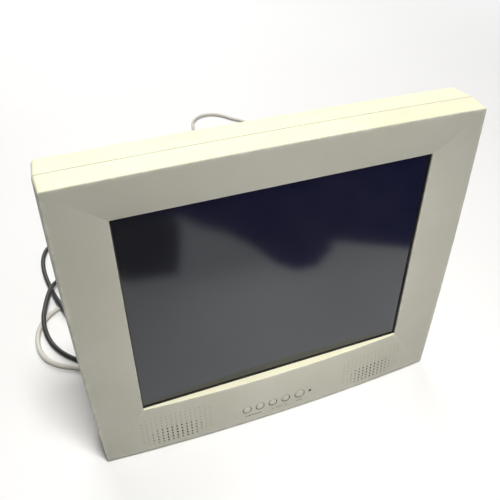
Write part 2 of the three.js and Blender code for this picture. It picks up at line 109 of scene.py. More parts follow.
def mixColour(tree, factor, first, second):
    mix = addNode(tree, "ShaderNodeMix", data_type="RGBA")
    for label, source in (("factor", factor), ("first", first), ("second", second)):
        socket = mix.inputs[mixSockets[label]]
        if isinstance(source, (int, float, tuple)):
            socket.default_value = source
        else:
            tree.links.new(source, socket)
    return mix.outputs[mixSockets["result"]]


def spread(tree, value, low, high, toLow=0.0, toHigh=1.0):
    ramp = addNode(tree, "ShaderNodeMapRange",
                   {"From Min": low, "From Max": high, "To Min": toLow, "To Max": toHigh})
    tree.links.new(value, ramp.inputs["Value"])
    return ramp.outputs["Result"]


def multiply(tree, first, second):
    node = addNode(tree, "ShaderNodeMath", operation="MULTIPLY", use_clamp=True)
    tree.links.new(first, node.inputs[0])
    if isinstance(second, (int, float)):
        node.inputs[1].default_value = second
    else:
        tree.links.new(second, node.inputs[1])
    return node.outputs[0]


def makeMouldGrain():
    # fine spark-eroded grain of a moulded surface, with a slow drift of tone
    tree, start, end = newGroup("mouldGrain", "ShaderNodeTree", [
        ("Vector", "INPUT", "NodeSocketVector", None),
        ("Grain Scale", "INPUT", "NodeSocketFloat", 1100.0),
        ("Height", "OUTPUT", "NodeSocketFloat", None),
        ("Drift", "OUTPUT", "NodeSocketFloat", None),
        ("Speckle", "OUTPUT", "NodeSocketFloat", None),
    ])
    fine = addNode(tree, "ShaderNodeTexNoise", {"Detail": 3.0, "Roughness": 0.6})
    tree.links.new(start.outputs["Vector"], fine.inputs["Vector"])
    tree.links.new(start.outputs["Grain Scale"], fine.inputs["Scale"])
    slow = addNode(tree, "ShaderNodeTexNoise", {"Scale": 9.0, "Detail": 4.0, "Roughness": 0.55})
    tree.links.new(start.outputs["Vector"], slow.inputs["Vector"])
    dots = addNode(tree, "ShaderNodeTexVoronoi", {"Scale": 260.0})
    tree.links.new(start.outputs["Vector"], dots.inputs["Vector"])
    tree.links.new(fine.outputs["Fac"], end.inputs["Height"])
    tree.links.new(spread(tree, slow.outputs["Fac"], 0.32, 0.68), end.inputs["Drift"])
    tree.links.new(spread(tree, dots.outputs["Distance"], 0.10, 0.04), end.inputs["Speckle"])
    return tree


def makeYellowingAndTopLight():
    # light from above has yellowed what faces up, and what faces up is painted lighter as well: yellowing
    # with painted top light
    tree, start, end = newGroup("yellowingAndPaintedTopLight", "ShaderNodeTree", [
        ("Colour", "INPUT", "NodeSocketColor", (0.6, 0.6, 0.55, 1.0)),
        ("Aged And Lit Colour", "INPUT", "NodeSocketColor", (0.8, 0.76, 0.5, 1.0)),
        ("Amount", "INPUT", "NodeSocketFloat", 0.7),
        ("Drift", "INPUT", "NodeSocketFloat", 0.5),
        ("Colour", "OUTPUT", "NodeSocketColor", None),
    ])
    facing = addNode(tree, "ShaderNodeNewGeometry")
    split = addNode(tree, "ShaderNodeSeparateXYZ")
    tree.links.new(facing.outputs["True Normal"], split.inputs[0])
    up = spread(tree, split.outputs["Z"], 0.25, 0.95)
    patchy = spread(tree, start.outputs["Drift"], 0.0, 1.0, 0.75, 1.0)
    mask = multiply(tree, multiply(tree, up, patchy), start.outputs["Amount"])
    mixed = mixColour(tree, mask, start.outputs["Colour"], start.outputs["Aged And Lit Colour"])
    tree.links.new(mixed, end.inputs["Colour"])
    return tree


def makeEdgeWearAndHighlight():
    # handling polishes and dirties the edges, where the mesh carries an "edge" value; on the bezel's lip the
    # lighter worn colour is a painted highlight as well
    tree, start, end = newGroup("edgeWearAndHighlight", "ShaderNodeTree", [
        ("Vector", "INPUT", "NodeSocketVector", None),
        ("Colour", "INPUT", "NodeSocketColor", (0.6, 0.6, 0.55, 1.0)),
        ("Worn And Highlight Colour", "INPUT", "NodeSocketColor", (0.35, 0.33, 0.28, 1.0)),
        ("Amount", "INPUT", "NodeSocketFloat", 0.5),
        ("Colour", "OUTPUT", "NodeSocketColor", None),
        ("Mask", "OUTPUT", "NodeSocketFloat", None),
    ])
    edge = addNode(tree, "ShaderNodeAttribute", attribute_name="edge")
    blotch = addNode(tree, "ShaderNodeTexNoise", {"Scale": 70.0, "Detail": 6.0, "Roughness": 0.7})
    tree.links.new(start.outputs["Vector"], blotch.inputs["Vector"])
    broken = spread(tree, blotch.outputs["Fac"], 0.42, 0.62)
    mask = multiply(tree, multiply(tree, edge.outputs["Fac"], broken), start.outputs["Amount"])
    mixed = mixColour(tree, mask, start.outputs["Colour"], start.outputs["Worn And Highlight Colour"])
    tree.links.new(mixed, end.inputs["Colour"])
    tree.links.new(mask, end.inputs["Mask"])
    return tree


def makeGrime():
    # thin dust and finger marks over a whole piece
    tree, start, end = newGroup("grime", "ShaderNodeTree", [
        ("Vector", "INPUT", "NodeSocketVector", None),
        ("Colour", "INPUT", "NodeSocketColor", (0.6, 0.6, 0.55, 1.0)),
        ("Dust Colour", "INPUT", "NodeSocketColor", (0.4, 0.37, 0.3, 1.0)),
        ("Amount", "INPUT", "NodeSocketFloat", 0.2),
        ("Colour", "OUTPUT", "NodeSocketColor", None),
        ("Mask", "OUTPUT", "NodeSocketFloat", None),
    ])
    wide = addNode(tree, "ShaderNodeTexNoise", {"Scale": 16.0, "Detail": 7.0, "Roughness": 0.65})
    tree.links.new(start.outputs["Vector"], wide.inputs["Vector"])
    mask = multiply(tree, spread(tree, wide.outputs["Fac"], 0.45, 0.75), start.outputs["Amount"])
    mixed = mixColour(tree, mask, start.outputs["Colour"], start.outputs["Dust Colour"])
    tree.links.new(mixed, end.inputs["Colour"])
    tree.links.new(mask, end.inputs["Mask"])
    return tree


groups = {
    "grain": makeMouldGrain(),
    "topYellowAndLight": makeYellowingAndTopLight(),
    "wearAndHighlight": makeEdgeWearAndHighlight(),
    "grime": makeGrime(),
}


def placeGroup(tree, which, values, links):
    node = addNode(tree, "ShaderNodeGroup", node_tree=groups[which])
    for key, value in values.items():
        node.inputs[key].default_value = value
    for key, source in links.items():
        tree.links.new(source, node.inputs[key])
    return node


def rgb(red, green, blue):
    # screen values from 0 to 255 to the linear colour that nodes use
    def linear(value):
        share = value / 255.0
        return share / 12.92 if share <= 0.04045 else ((share + 0.055) / 1.055) ** 2.4
    return (linear(red), linear(green), linear(blue), 1.0)


def blankMaterial(name, roughness, **fixed):
    material = bpy.data.materials.new(name)
    material.use_nodes = True
    tree = material.node_tree
    shader = tree.nodes["Principled BSDF"]
    shader.inputs["Roughness"].default_value = roughness
    for key, value in fixed.items():
        shader.inputs[key].default_value = value
    coords = addNode(tree, "ShaderNodeTexCoord")
    return material, tree, shader, coords.outputs["Object"]


def roughen(tree, shader, source, low, high):
    tree.links.new(spread(tree, source, 0.0, 1.0, low, high), shader.inputs["Roughness"])


bumpDepth = {"moulded": 0.0002, "fine": 0.0001}  # metres


def bumpFrom(tree, shader, height, strength, depth):
    bump = addNode(tree, "ShaderNodeBump", {"Strength": strength, "Distance": bumpDepth[depth]})
    tree.links.new(height, bump.inputs["Height"])
    tree.links.new(bump.outputs["Normal"], shader.inputs["Normal"])


def mouldedPlastic(name, look):
    # grain, drift, yellowing with painted top light, edge wear with a painted highlight on the bezel's lip,
    # and grime on one moulded plastic
    material, tree, shader, place = blankMaterial(name, look["rough"][0])
    grain = placeGroup(tree, "grain", {"Grain Scale": look["grainScale"]}, {"Vector": place})
    base = mixColour(tree, grain.outputs["Drift"], look["base"], look["drift"])
    speckled = mixColour(tree, multiply(tree, grain.outputs["Speckle"], look["speckle"]), base,
                         look["wornAndHighlight"])
    topYellowAndLight = placeGroup(tree, "topYellowAndLight", {"Aged And Lit Colour": look["agedAndLit"], "Amount": look["yellowAndLight"]},
                     {"Colour": speckled, "Drift": grain.outputs["Drift"]})
    wearAndHighlight = placeGroup(tree, "wearAndHighlight", {"Worn And Highlight Colour": look["wornAndHighlight"], "Amount": look["wearAndHighlight"]},
                      {"Vector": place, "Colour": topYellowAndLight.outputs["Colour"]})
    grime = placeGroup(tree, "grime", {"Dust Colour": look["dust"], "Amount": look["grime"]},
                       {"Vector": place, "Colour": wearAndHighlight.outputs["Colour"]})
    tree.links.new(grime.outputs["Colour"], shader.inputs["Base Color"])
    roughen(tree, shader, grain.outputs["Drift"], *look["rough"])
    bumpFrom(tree, shader, grain.outputs["Height"], look["bump"], "moulded")
    return material


# the up-facing colour is yellowing plus painted top light; the edge colour is wear, on the bezel also a
# painted highlight along the lip
plasticLooks = {
    # base and drift darker than the cover's same plastic: painted shade on the bezel's front face
    "shadedBezelPlastic": {
        "base": rgb(163, 161, 149), "drift": rgb(157, 155, 142), "agedAndLit": rgb(230, 227, 194),
        # the light edge colour is wear plus a painted highlight along the lip
        "wornAndHighlight": rgb(214, 212, 199), "dust": rgb(150, 144, 126), "grainScale": 1100.0,
        "yellowAndLight": 0.95, "wearAndHighlight": 0.5, "grime": 0.14, "speckle": 0.08, "rough": (0.5, 0.62), "bump": 0.25,
    },
    "coverPlastic": {
        "base": rgb(200, 197, 180), "drift": rgb(193, 190, 171), "agedAndLit": rgb(234, 230, 194),
        "wornAndHighlight": rgb(220, 217, 200), "dust": rgb(156, 149, 128), "grainScale": 1100.0,
        "yellowAndLight": 0.9, "wearAndHighlight": 0.35, "grime": 0.18, "speckle": 0.08, "rough": (0.5, 0.64), "bump": 0.25,
    },
    # base matched to the bezel's darkened tone: painted shade on the buttons
    "shadedButtonPlastic": {
        "base": rgb(164, 162, 151), "drift": rgb(158, 156, 144), "agedAndLit": rgb(196, 193, 172),
        "wornAndHighlight": rgb(150, 146, 132), "dust": rgb(160, 155, 140), "grainScale": 1800.0,
        "yellowAndLight": 0.2, "wearAndHighlight": 0.45, "grime": 0.2, "speckle": 0.05, "rough": (0.34, 0.46), "bump": 0.12,
    },
    "blackPlastic": {
        "base": rgb(34, 34, 36), "drift": rgb(28, 28, 30), "agedAndLit": rgb(40, 39, 38),
        "wornAndHighlight": rgb(72, 71, 70), "dust": rgb(110, 104, 94), "grainScale": 1400.0,
        "yellowAndLight": 0.3, "wearAndHighlight": 0.4, "grime": 0.25, "speckle": 0.1, "rough": (0.42, 0.55), "bump": 0.2,
    },
    "rubberPad": {
        "base": rgb(30, 30, 31), "drift": rgb(40, 39, 38), "agedAndLit": rgb(52, 50, 46),
        "wornAndHighlight": rgb(84, 80, 74), "dust": rgb(128, 120, 106), "grainScale": 800.0,
        "yellowAndLight": 0.3, "wearAndHighlight": 0.5, "grime": 0.45, "speckle": 0.12, "rough": (0.75, 0.9), "bump": 0.4,
    },
    "whiteFilm": {
        "base": rgb(232, 233, 230), "drift": rgb(224, 225, 222), "agedAndLit": rgb(234, 232, 214),
        "wornAndHighlight": rgb(190, 188, 180), "dust": rgb(180, 175, 160), "grainScale": 2200.0,
        "yellowAndLight": 0.4, "wearAndHighlight": 0.1, "grime": 0.1, "speckle": 0.03, "rough": (0.5, 0.6), "bump": 0.05,
    },
    "labelPaper": {
        "base": rgb(222, 222, 218), "drift": rgb(214, 214, 208), "agedAndLit": rgb(226, 222, 200),
        "wornAndHighlight": rgb(176, 172, 160), "dust": rgb(170, 164, 148), "grainScale": 1600.0,
        "yellowAndLight": 0.5, "wearAndHighlight": 0.2, "grime": 0.3, "speckle": 0.04, "rough": (0.45, 0.6), "bump": 0.1,
    },
    "conePaper": {
        "base": rgb(40, 38, 36), "drift": rgb(48, 46, 43), "agedAndLit": rgb(56, 53, 48),
        "wornAndHighlight": rgb(90, 86, 80), "dust": rgb(120, 112, 98), "grainScale": 900.0,
        "yellowAndLight": 0.2, "wearAndHighlight": 0.2, "grime": 0.4, "speckle": 0.2, "rough": (0.8, 0.92), "bump": 0.6,
    },
    # dark walls of the grille holes and button wells: painted shade inside them
    "paintedHoleShade": {
        "base": rgb(62, 58, 46), "drift": rgb(54, 50, 40), "agedAndLit": rgb(84, 79, 62),
        "wornAndHighlight": rgb(96, 92, 78), "dust": rgb(104, 98, 82), "grainScale": 900.0,
        "yellowAndLight": 0.2, "wearAndHighlight": 0.1, "grime": 0.3, "speckle": 0.05, "rough": (0.6, 0.7), "bump": 0.15,
    },
    # dimple walls darker than the face: painted shade in the blind marks
    "paintedDimpleShade": {
        "base": rgb(136, 133, 119), "drift": rgb(128, 125, 111), "agedAndLit": rgb(190, 186, 160),
        "wornAndHighlight": rgb(120, 116, 100), "dust": rgb(112, 106, 90), "grainScale": 900.0,
        "yellowAndLight": 0.3, "wearAndHighlight": 0.1, "grime": 0.35, "speckle": 0.05, "rough": (0.6, 0.7), "bump": 0.15,
    },
    "markInk": {
        "base": rgb(92, 89, 78), "drift": rgb(102, 99, 88), "agedAndLit": rgb(120, 116, 100),
        "wornAndHighlight": rgb(176, 173, 160), "dust": rgb(160, 156, 142), "grainScale": 2600.0,
        "yellowAndLight": 0.2, "wearAndHighlight": 0.5, "grime": 0.3, "speckle": 0.1, "rough": (0.5, 0.6), "bump": 0.05,
    },
}

metalLooks = {
    "platedSteel": {
        "base": rgb(176, 178, 180), "drift": rgb(150, 152, 153), "rough": (0.3, 0.5), "metallic": 0.95,
    },
    "brass": {
        "base": rgb(196, 164, 96), "drift": rgb(168, 136, 74), "rough": (0.28, 0.42), "metallic": 0.95,
    },
    "frameBlack": {
        "base": rgb(26, 26, 28), "drift": rgb(20, 20, 22), "rough": (0.38, 0.5), "metallic": 0.0,
    },
}

jacketLooks = {
    "powerJacket": {
        "base": rgb(24, 24, 26), "drift": rgb(33, 33, 35), "dust": rgb(96, 92, 84), "rough": (0.36, 0.5),
    },
    "videoJacket": {
        "base": rgb(202, 198, 189), "drift": rgb(191, 187, 177), "dust": rgb(156, 150, 138),
        "rough": (0.42, 0.56),
    },
}


def brushedMetal(name, look):
    # streaks along one direction, on bare or painted metal
    material, tree, shader, place = blankMaterial(name, look["rough"][0], Metallic=look["metallic"])
    squeeze = addNode(tree, "ShaderNodeMapping", {"Scale": (1.0, 60.0, 60.0)})
    tree.links.new(place, squeeze.inputs["Vector"])
    streak = addNode(tree, "ShaderNodeTexNoise", {"Scale": 30.0, "Detail": 5.0, "Roughness": 0.6})
    tree.links.new(squeeze.outputs["Vector"], streak.inputs["Vector"])
    tone = mixColour(tree, streak.outputs["Fac"], look["base"], look["drift"])
    grime = placeGroup(tree, "grime", {"Dust Colour": rgb(110, 104, 92), "Amount": 0.3},
                       {"Vector": place, "Colour": tone})
    tree.links.new(grime.outputs["Colour"], shader.inputs["Base Color"])
    roughen(tree, shader, streak.outputs["Fac"], *look["rough"])
    bumpFrom(tree, shader, streak.outputs["Fac"], 0.15, "fine")
    return material


def leadJacket(name, look):
    # soft vinyl with slow mottling, a fine grain and settled dust
    material, tree, shader, place = blankMaterial(name, look["rough"][0])
    grain = placeGroup(tree, "grain", {"Grain Scale": 700.0}, {"Vector": place})
    tone = mixColour(tree, grain.outputs["Drift"], look["base"], look["drift"])
    grime = placeGroup(tree, "grime", {"Dust Colour": look["dust"], "Amount": 0.35},
                       {"Vector": place, "Colour": tone})
    tree.links.new(grime.outputs["Colour"], shader.inputs["Base Color"])
    roughen(tree, shader, grain.outputs["Drift"], *look["rough"])
    bumpFrom(tree, shader, grain.outputs["Height"], 0.18, "moulded")
    return material


screenLook = {
    "base": rgb(19, 19, 22), "cool": rgb(16, 16, 23), "border": rgb(10, 10, 12), "index": 1.72,
    "tint": (0.9, 0.95, 1.0, 1.0),
    "rough": (0.09, 0.115), "halfWidth": 0.1672, "halfHeight": 0.1332, "soft": 0.0008,
}


def screenCoating():
    # dark anti-glare coat with an unlit border, faint smears and a little settled dust
    material, tree, shader, place = blankMaterial("screenCoating", screenLook["rough"][0])
    shader.inputs["IOR"].default_value = screenLook["index"]
    shader.inputs["Specular Tint"].default_value = screenLook["tint"]
    low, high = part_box("display_panel")
    centre = (low + high) / 2
    shift = addNode(tree, "ShaderNodeMapping", {"Location": (-centre.x, 0.0, -centre.z)})
    tree.links.new(place, shift.inputs["Vector"])
    split = addNode(tree, "ShaderNodeSeparateXYZ")
    tree.links.new(shift.outputs["Vector"], split.inputs[0])
    inside = None
    for axis, half in (("X", screenLook["halfWidth"]), ("Z", screenLook["halfHeight"])):
        size = addNode(tree, "ShaderNodeMath", operation="ABSOLUTE")
        tree.links.new(split.outputs[axis], size.inputs[0])
        within = spread(tree, size.outputs[0], half + screenLook["soft"], half)
        inside = within if inside is None else multiply(tree, inside, within)
    smear = addNode(tree, "ShaderNodeTexNoise", {"Scale": 7.0, "Detail": 5.0, "Distortion": 0.8})
    tree.links.new(place, smear.inputs["Vector"])
    active = mixColour(tree, spread(tree, smear.outputs["Fac"], 0.35, 0.65), screenLook["base"],
                       screenLook["cool"])
    whole = mixColour(tree, inside, screenLook["border"], active)
    grime = placeGroup(tree, "grime", {"Dust Colour": rgb(96, 96, 96), "Amount": 0.035},
                       {"Vector": place, "Colour": whole})
    tree.links.new(grime.outputs["Colour"], shader.inputs["Base Color"])
    roughen(tree, shader, smear.outputs["Fac"], *screenLook["rough"])
    sparkle = addNode(tree, "ShaderNodeTexNoise", {"Scale": 2600.0, "Detail": 1.0})
    tree.links.new(place, sparkle.inputs["Vector"])
    bumpFrom(tree, shader, sparkle.outputs["Fac"], 0.06, "fine")
    return material


def circuitBoard():
    # green solder mask over paler tracks, with tinned pads
    material, tree, shader, place = blankMaterial("circuitBoard", 0.4)
    tracks = addNode(tree, "ShaderNodeTexBrick", {
        "Scale": 90.0, "Color1": rgb(24, 92, 52), "Color2": rgb(20, 80, 46), "Mortar": rgb(44, 122, 74),
        "Mortar Size": 0.03, "Brick Width": 0.9, "Row Height": 0.22,
    })
    turn = addNode(tree, "ShaderNodeMapping", {"Rotation": (math.radians(90), 0.0, 0.0)})
    tree.links.new(place, turn.inputs["Vector"])
    tree.links.new(turn.outputs["Vector"], tracks.inputs["Vector"])
    pads = addNode(tree, "ShaderNodeTexVoronoi", {"Scale": 320.0})
    tree.links.new(place, pads.inputs["Vector"])
    padMask = spread(tree, pads.outputs["Distance"], 0.22, 0.18)
    tone = mixColour(tree, multiply(tree, padMask, 0.6), tracks.outputs["Color"], rgb(190, 192, 186))
    grime = placeGroup(tree, "grime", {"Amount": 0.4}, {"Vector": place, "Colour": tone})
    tree.links.new(grime.outputs["Colour"], shader.inputs["Base Color"])
    bumpFrom(tree, shader, tracks.outputs["Fac"], 0.2, "fine")
    return material


def clearSheet():
    material, tree, shader, place = blankMaterial("clearSheet", 0.12)
    shader.inputs["IOR"].default_value = 1.49
    grain = placeGroup(tree, "grain", {"Grain Scale": 300.0}, {"Vector": place})
    tone = mixColour(tree, grain.outputs["Drift"], rgb(226, 234, 236), rgb(216, 226, 230))
    tree.links.new(tone, shader.inputs["Base Color"])
    roughen(tree, shader, grain.outputs["Drift"], 0.1, 0.2)
    return material


def lampLens():
    material, tree, shader, place = blankMaterial("lampLens", 0.22)
    grain = placeGroup(tree, "grain", {"Grain Scale": 500.0}, {"Vector": place})
    tone = mixColour(tree, grain.outputs["Drift"], rgb(44, 32, 28), rgb(58, 40, 32))
    tree.links.new(tone, shader.inputs["Base Color"])
    roughen(tree, shader, grain.outputs["Drift"], 0.18, 0.3)
    return material


materials = {name: mouldedPlastic(name, look) for name, look in plasticLooks.items()}
materials.update({name: brushedMetal(name, look) for name, look in metalLooks.items()})
materials.update({name: leadJacket(name, look) for name, look in jacketLooks.items()})
materials["screenCoating"] = screenCoating()
materials["circuitBoard"] = circuitBoard()
materials["clearSheet"] = clearSheet()
materials["lampLens"] = lampLens()
print("materials made:", len(materials))


stageLook = {
    "floorSize": 9.0, "floor": rgb(226, 225, 223), "floorDrift": rgb(220, 219, 217),
    "sky": (1.0, 1.0, 1.0, 1.0), "skyStrength": 0.1, "backdropStrength": 0.93,
    "fadeStart": 1.0, "fadeEnd": 2.3,  # the floor glows into the backdrop between these distances
    "lights": [  # name, place, aim, size, watts, seen in gloss
        ("overheadKey", (0.1, -0.85, 3.0), (0.0, -0.1, 0.0), 0.6, 92.0, True),
        ("rearSoft", (0.2, 2.6, 2.2), (0.2, 2.4, 0.0), 2.0, 74.0, True),
        ("frontFill", (0.05, -0.38, 0.2), (0.05, 0.0, 0.2), 0.16, 0.66, False),
    ],
    # dark flags laid before the screen, seen in its gloss only
    "flagHeight": 0.001, "flagShade": 0.7,
    "flags": {
        "navyFlag": (rgb(16, 20, 108), [
            (-0.08, -0.62), (-0.07, -0.58), (-0.005, -0.553), (0.026, -0.504), (0.061, -0.47),
            (0.086, -0.432), (0.103, -0.394), (0.116, -0.352), (0.141, -0.322), (0.178, -0.321),
            (0.218, -0.349), (0.239, -0.371), (0.268, -0.356), (0.309, -0.332), (0.35, -0.308),
            (0.46, -0.27), (0.95, -0.6), (0.95, -1.6), (-0.3, -1.6)]),
        "greyFlag": (rgb(72, 72, 76), [
            (-0.6, -0.56), (-0.3, -0.45), (-0.15, -0.414), (-0.129, -0.395), (-0.096, -0.392),
            (-0.048, -0.386), (-0.022, -0.463), (-0.003, -0.539), (-0.08, -0.62), (-0.3, -1.6),
            (-1.2, -1.6)]),
    },
}


def makeFlag(name, tone, outline):
    material, tree, shader, place = blankMaterial(name, 0.9)
    cloth = addNode(tree, "ShaderNodeTexNoise", {"Scale": 6.0, "Detail": 4.0})
    tree.links.new(place, cloth.inputs["Vector"])
    shade = tuple(value * stageLook["flagShade"] for value in tone[:3]) + (1.0,)
    tree.links.new(mixColour(tree, cloth.outputs["Fac"], tone, shade), shader.inputs["Base Color"])
    mesh = bpy.data.meshes.new(name)
    corners = [(x, y, stageLook["flagHeight"]) for x, y in outline]
    mesh.from_pydata(corners, [], [tuple(range(len(corners)))])
    mesh.materials.append(material)
    flag = bpy.data.objects.new(name, mesh)
    scene.collection.objects.link(flag)
    flag.visible_camera = flag.visible_diffuse = flag.visible_shadow = False


def makeLamp(name, place, aim, size, watts, inGloss):
    light = bpy.data.lights.new(name, "AREA")
    light.energy = watts
    light.size = size
    lamp = bpy.data.objects.new(name, light)
    scene.collection.objects.link(lamp)
    lamp.location = place
    lamp.visible_camera = False
    lamp.visible_glossy = inGloss
    lamp.rotation_euler = (Vector(aim) - Vector(place)).to_track_quat("-Z", "Y").to_euler()


def makeSky():
    # a dim even sky, with a pale backdrop where the camera looks past the floor
    world = bpy.data.worlds.new("studio")
    world.use_nodes = True
    tree = world.node_tree
    sky = tree.nodes["Background"]
    sky.inputs["Color"].default_value = stageLook["sky"]
    sky.inputs["Strength"].default_value = stageLook["skyStrength"]
    backdrop = addNode(tree, "ShaderNodeBackground", {"Color": stageLook["sky"],
                                                      "Strength": stageLook["backdropStrength"]})
    rays = addNode(tree, "ShaderNodeLightPath")
    mix = addNode(tree, "ShaderNodeMixShader")
    tree.links.new(rays.outputs["Is Camera Ray"], mix.inputs[0])
    tree.links.new(sky.outputs[0], mix.inputs[1])
    tree.links.new(backdrop.outputs[0], mix.inputs[2])
    tree.links.new(mix.outputs[0], tree.nodes["World Output"].inputs["Surface"])
    scene.world = world


def makeStage():
    material, tree, shader, place = blankMaterial("floorPaper", 0.7)
    cloud = addNode(tree, "ShaderNodeTexNoise", {"Scale": 3.0, "Detail": 3.0})
    tree.links.new(place, cloud.inputs["Vector"])
    tone = mixColour(tree, cloud.outputs["Fac"], stageLook["floor"], stageLook["floorDrift"])
    distance = addNode(tree, "ShaderNodeVectorMath", operation="LENGTH")
    tree.links.new(place, distance.inputs[0])
    fade = spread(tree, distance.outputs["Value"], stageLook["fadeStart"], stageLook["fadeEnd"])
    black = (0.0, 0.0, 0.0, 1.0)
    tree.links.new(mixColour(tree, fade, tone, black), shader.inputs["Base Color"])
    tree.links.new(mixColour(tree, fade, black, stageLook["sky"]), shader.inputs["Emission Color"])
    shader.inputs["Emission Strength"].default_value = stageLook["backdropStrength"]
    half = stageLook["floorSize"] / 2
    mesh = bpy.data.meshes.new("floor")
    mesh.from_pydata([(-half, -half, 0), (half, -half, 0), (half, half, 0), (-half, half, 0)], [],
                     [(0, 1, 2, 3)])
    mesh.materials.append(material)
    floor = bpy.data.objects.new("floor", mesh)
    scene.collection.objects.link(floor)
    for name, (tone, outline) in stageLook["flags"].items():
        makeFlag(name, tone, outline)
    makeSky()
    for settings in stageLook["lights"]:
        makeLamp(*settings)
    scene.view_settings.view_transform = "Standard"


smoothAngle = 30.0  # degrees, sharper edges stay crisp


def finishPiece(name, mesh, material, body, replaced=()):
    # a cut or joined mesh can come with an empty slot, which takes the piece's own finish
    if not mesh.materials:
        mesh.materials.append(material)
    for index, held in enumerate(mesh.materials):
        if held is None:
            mesh.materials[index] = material
    mesh.shade_smooth()
    mesh.set_sharp_from_angle(angle=math.radians(smoothAngle))
    piece = bpy.data.objects.new(name, mesh)
    scene.collection.objects.link(piece)
    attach(piece, body)
    if replaced:
        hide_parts(*replaced)
    return piece


def meshFrom(name, work):
    bmesh.ops.recalc_face_normals(work, faces=work.faces)
    mesh = bpy.data.meshes.new(name)
    work.to_mesh(mesh)
    work.free()
    return mesh


def looseObject(name, mesh):
    thing = bpy.data.objects.new(name, mesh)
    scene.collection.objects.link(thing)
    return thing


def baked(thing, name):
    # the evaluated mesh, modifiers and all, as a plain one
    graph = bpy.context.evaluated_depsgraph_get()
    mesh = bpy.data.meshes.new_from_object(thing.evaluated_get(graph), depsgraph=graph)
    mesh.name = name
    bpy.data.objects.remove(thing)
    return mesh


def cutAway(mesh, cutters, name, material=None):
    # cut faces keep the finish of the cutter that made them
    if material:
        mesh.materials.append(material)
    target = looseObject("cutTarget", mesh)
    tools = []
    for index, cutter in enumerate(cutters):
        tool = looseObject(f"cutTool{index}", cutter)
        tools.append(tool)
        step = target.modifiers.new("cut", "BOOLEAN")
        step.operation = "DIFFERENCE"
        step.solver = "EXACT"
        step.material_mode = "TRANSFER"
        step.object = tool
    result = baked(target, name)
    for tool in tools:
        bpy.data.objects.remove(tool)
    return result


def lathe(profile, segments, place, axis="Y"):
    # rings of [radius, along], closed where the radius is 0; axis Y runs back, Z up, X right
    work = bmesh.new()
    rings = []
    for radius, along in profile:
        count = 1 if radius == 0 else segments
        ring = []
        for i in range(count):
            angle = 2 * math.pi * i / segments
            side, rise = radius * math.cos(angle), radius * math.sin(angle)
            offset = {"Y": (side, along, rise), "Z": (side, rise, along), "X": (along, side, rise)}[axis]
            ring.append(work.verts.new(place + Vector(offset) * mm))
        rings.append(ring)
    for first, second in zip(rings, rings[1:]):
        for i in range(segments):
            j = (i + 1) % segments
            corners = [first[i % len(first)], first[j % len(first)], second[j % len(second)],
                       second[i % len(second)]]
            unique = list(dict.fromkeys(corners))
            if len(unique) > 2:
                work.faces.new(unique)
    return work


def rod(radius, begin, end, segments, place, axis="Y"):
    return lathe([(0, begin), (radius, begin), (radius, end), (0, end)], segments, place, axis)


def skin(work, rows, closed=False):
    # quads from each row of vertices to the next, with both ends capped unless the rows close up
    following = rows[1:] + rows[:1] if closed else rows[1:]
    for first, second in zip(rows, following):
        for i in range(len(first)):
            j = (i + 1) % len(first)
            work.faces.new((first[i], first[j], second[j], second[i]))
    if not closed:
        work.faces.new(rows[0])
        work.faces.new(rows[-1])
    return work


def roundedBlock(low, high, radius, segments=3):
    work = bmesh.new()
    bmesh.ops.create_cube(work, size=1.0)
    middle = (low + high) / 2
    size = high - low
    for vert in work.verts:
        vert.co = Vector([middle[k] + vert.co[k] * size[k] for k in range(3)])
    bmesh.ops.bevel(work, geom=work.edges[:], offset=radius * mm, segments=segments, affect="EDGES",
                    profile=0.5)
    return work


def joined(works, name, material=None):
    # several closed shapes as one mesh
    mesh = bpy.data.meshes.new(name)
    if material:
        mesh.materials.append(material)
    total = bmesh.new()
    for work in works:
        bmesh.ops.recalc_face_normals(work, faces=work.faces)
        work.to_mesh(mesh)
        work.free()
        total.from_mesh(mesh)
    total.to_mesh(mesh)
    total.free()
    return mesh


def shifted(works, place):
    for work in works:
        for vert in work.verts:
            vert.co += place
    return works


def nodeMiddle(node):
    low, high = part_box(node)
    return (low + high) / 2


padGap = {"around": 0.3, "below": 2.0}


def padSeat(node):
    # a pocket a little larger than its pad, open below
    low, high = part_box(node)
    around = Vector((1, 1, 1)) * padGap["around"] * mm
    below = Vector((0, 0, padGap["below"])) * mm
    return roundedBlock(low - around - below, high + around, 0.1, 1)


def makeCopiesTree():
    # one shape copied to every point, each copy scaled by the point's own "size"
    tree, start, end = newGroup("copiesAtPoints", "GeometryNodeTree", [
        ("Geometry", "INPUT", "NodeSocketGeometry", None),
        ("Shape", "INPUT", "NodeSocketObject", None),
        ("Size", "INPUT", "NodeSocketFloat", 1.0),
        ("Finish", "INPUT", "NodeSocketMaterial", None),
        ("Geometry", "OUTPUT", "NodeSocketGeometry", None),
    ])
    source = addNode(tree, "GeometryNodeObjectInfo")
    own = addNode(tree, "GeometryNodeInputNamedAttribute", {"Name": "size"}, data_type="FLOAT")
    scaled = addNode(tree, "ShaderNodeMath", operation="MULTIPLY")
    copies = addNode(tree, "GeometryNodeInstanceOnPoints")
    real = addNode(tree, "GeometryNodeRealizeInstances")
    coat = addNode(tree, "GeometryNodeSetMaterial")
    tree.links.new(start.outputs["Geometry"], copies.inputs["Points"])
    tree.links.new(start.outputs["Shape"], source.inputs["Object"])
    tree.links.new(source.outputs["Geometry"], copies.inputs["Instance"])
    tree.links.new(own.outputs["Attribute"], scaled.inputs[0])
    tree.links.new(start.outputs["Size"], scaled.inputs[1])
    tree.links.new(scaled.outputs[0], copies.inputs["Scale"])
    tree.links.new(copies.outputs["Instances"], real.inputs["Geometry"])
    tree.links.new(real.outputs["Geometry"], coat.inputs["Geometry"])
    tree.links.new(start.outputs["Finish"], coat.inputs["Material"])
    tree.links.new(coat.outputs["Geometry"], end.inputs["Geometry"])
    return tree


copiesTree = makeCopiesTree()


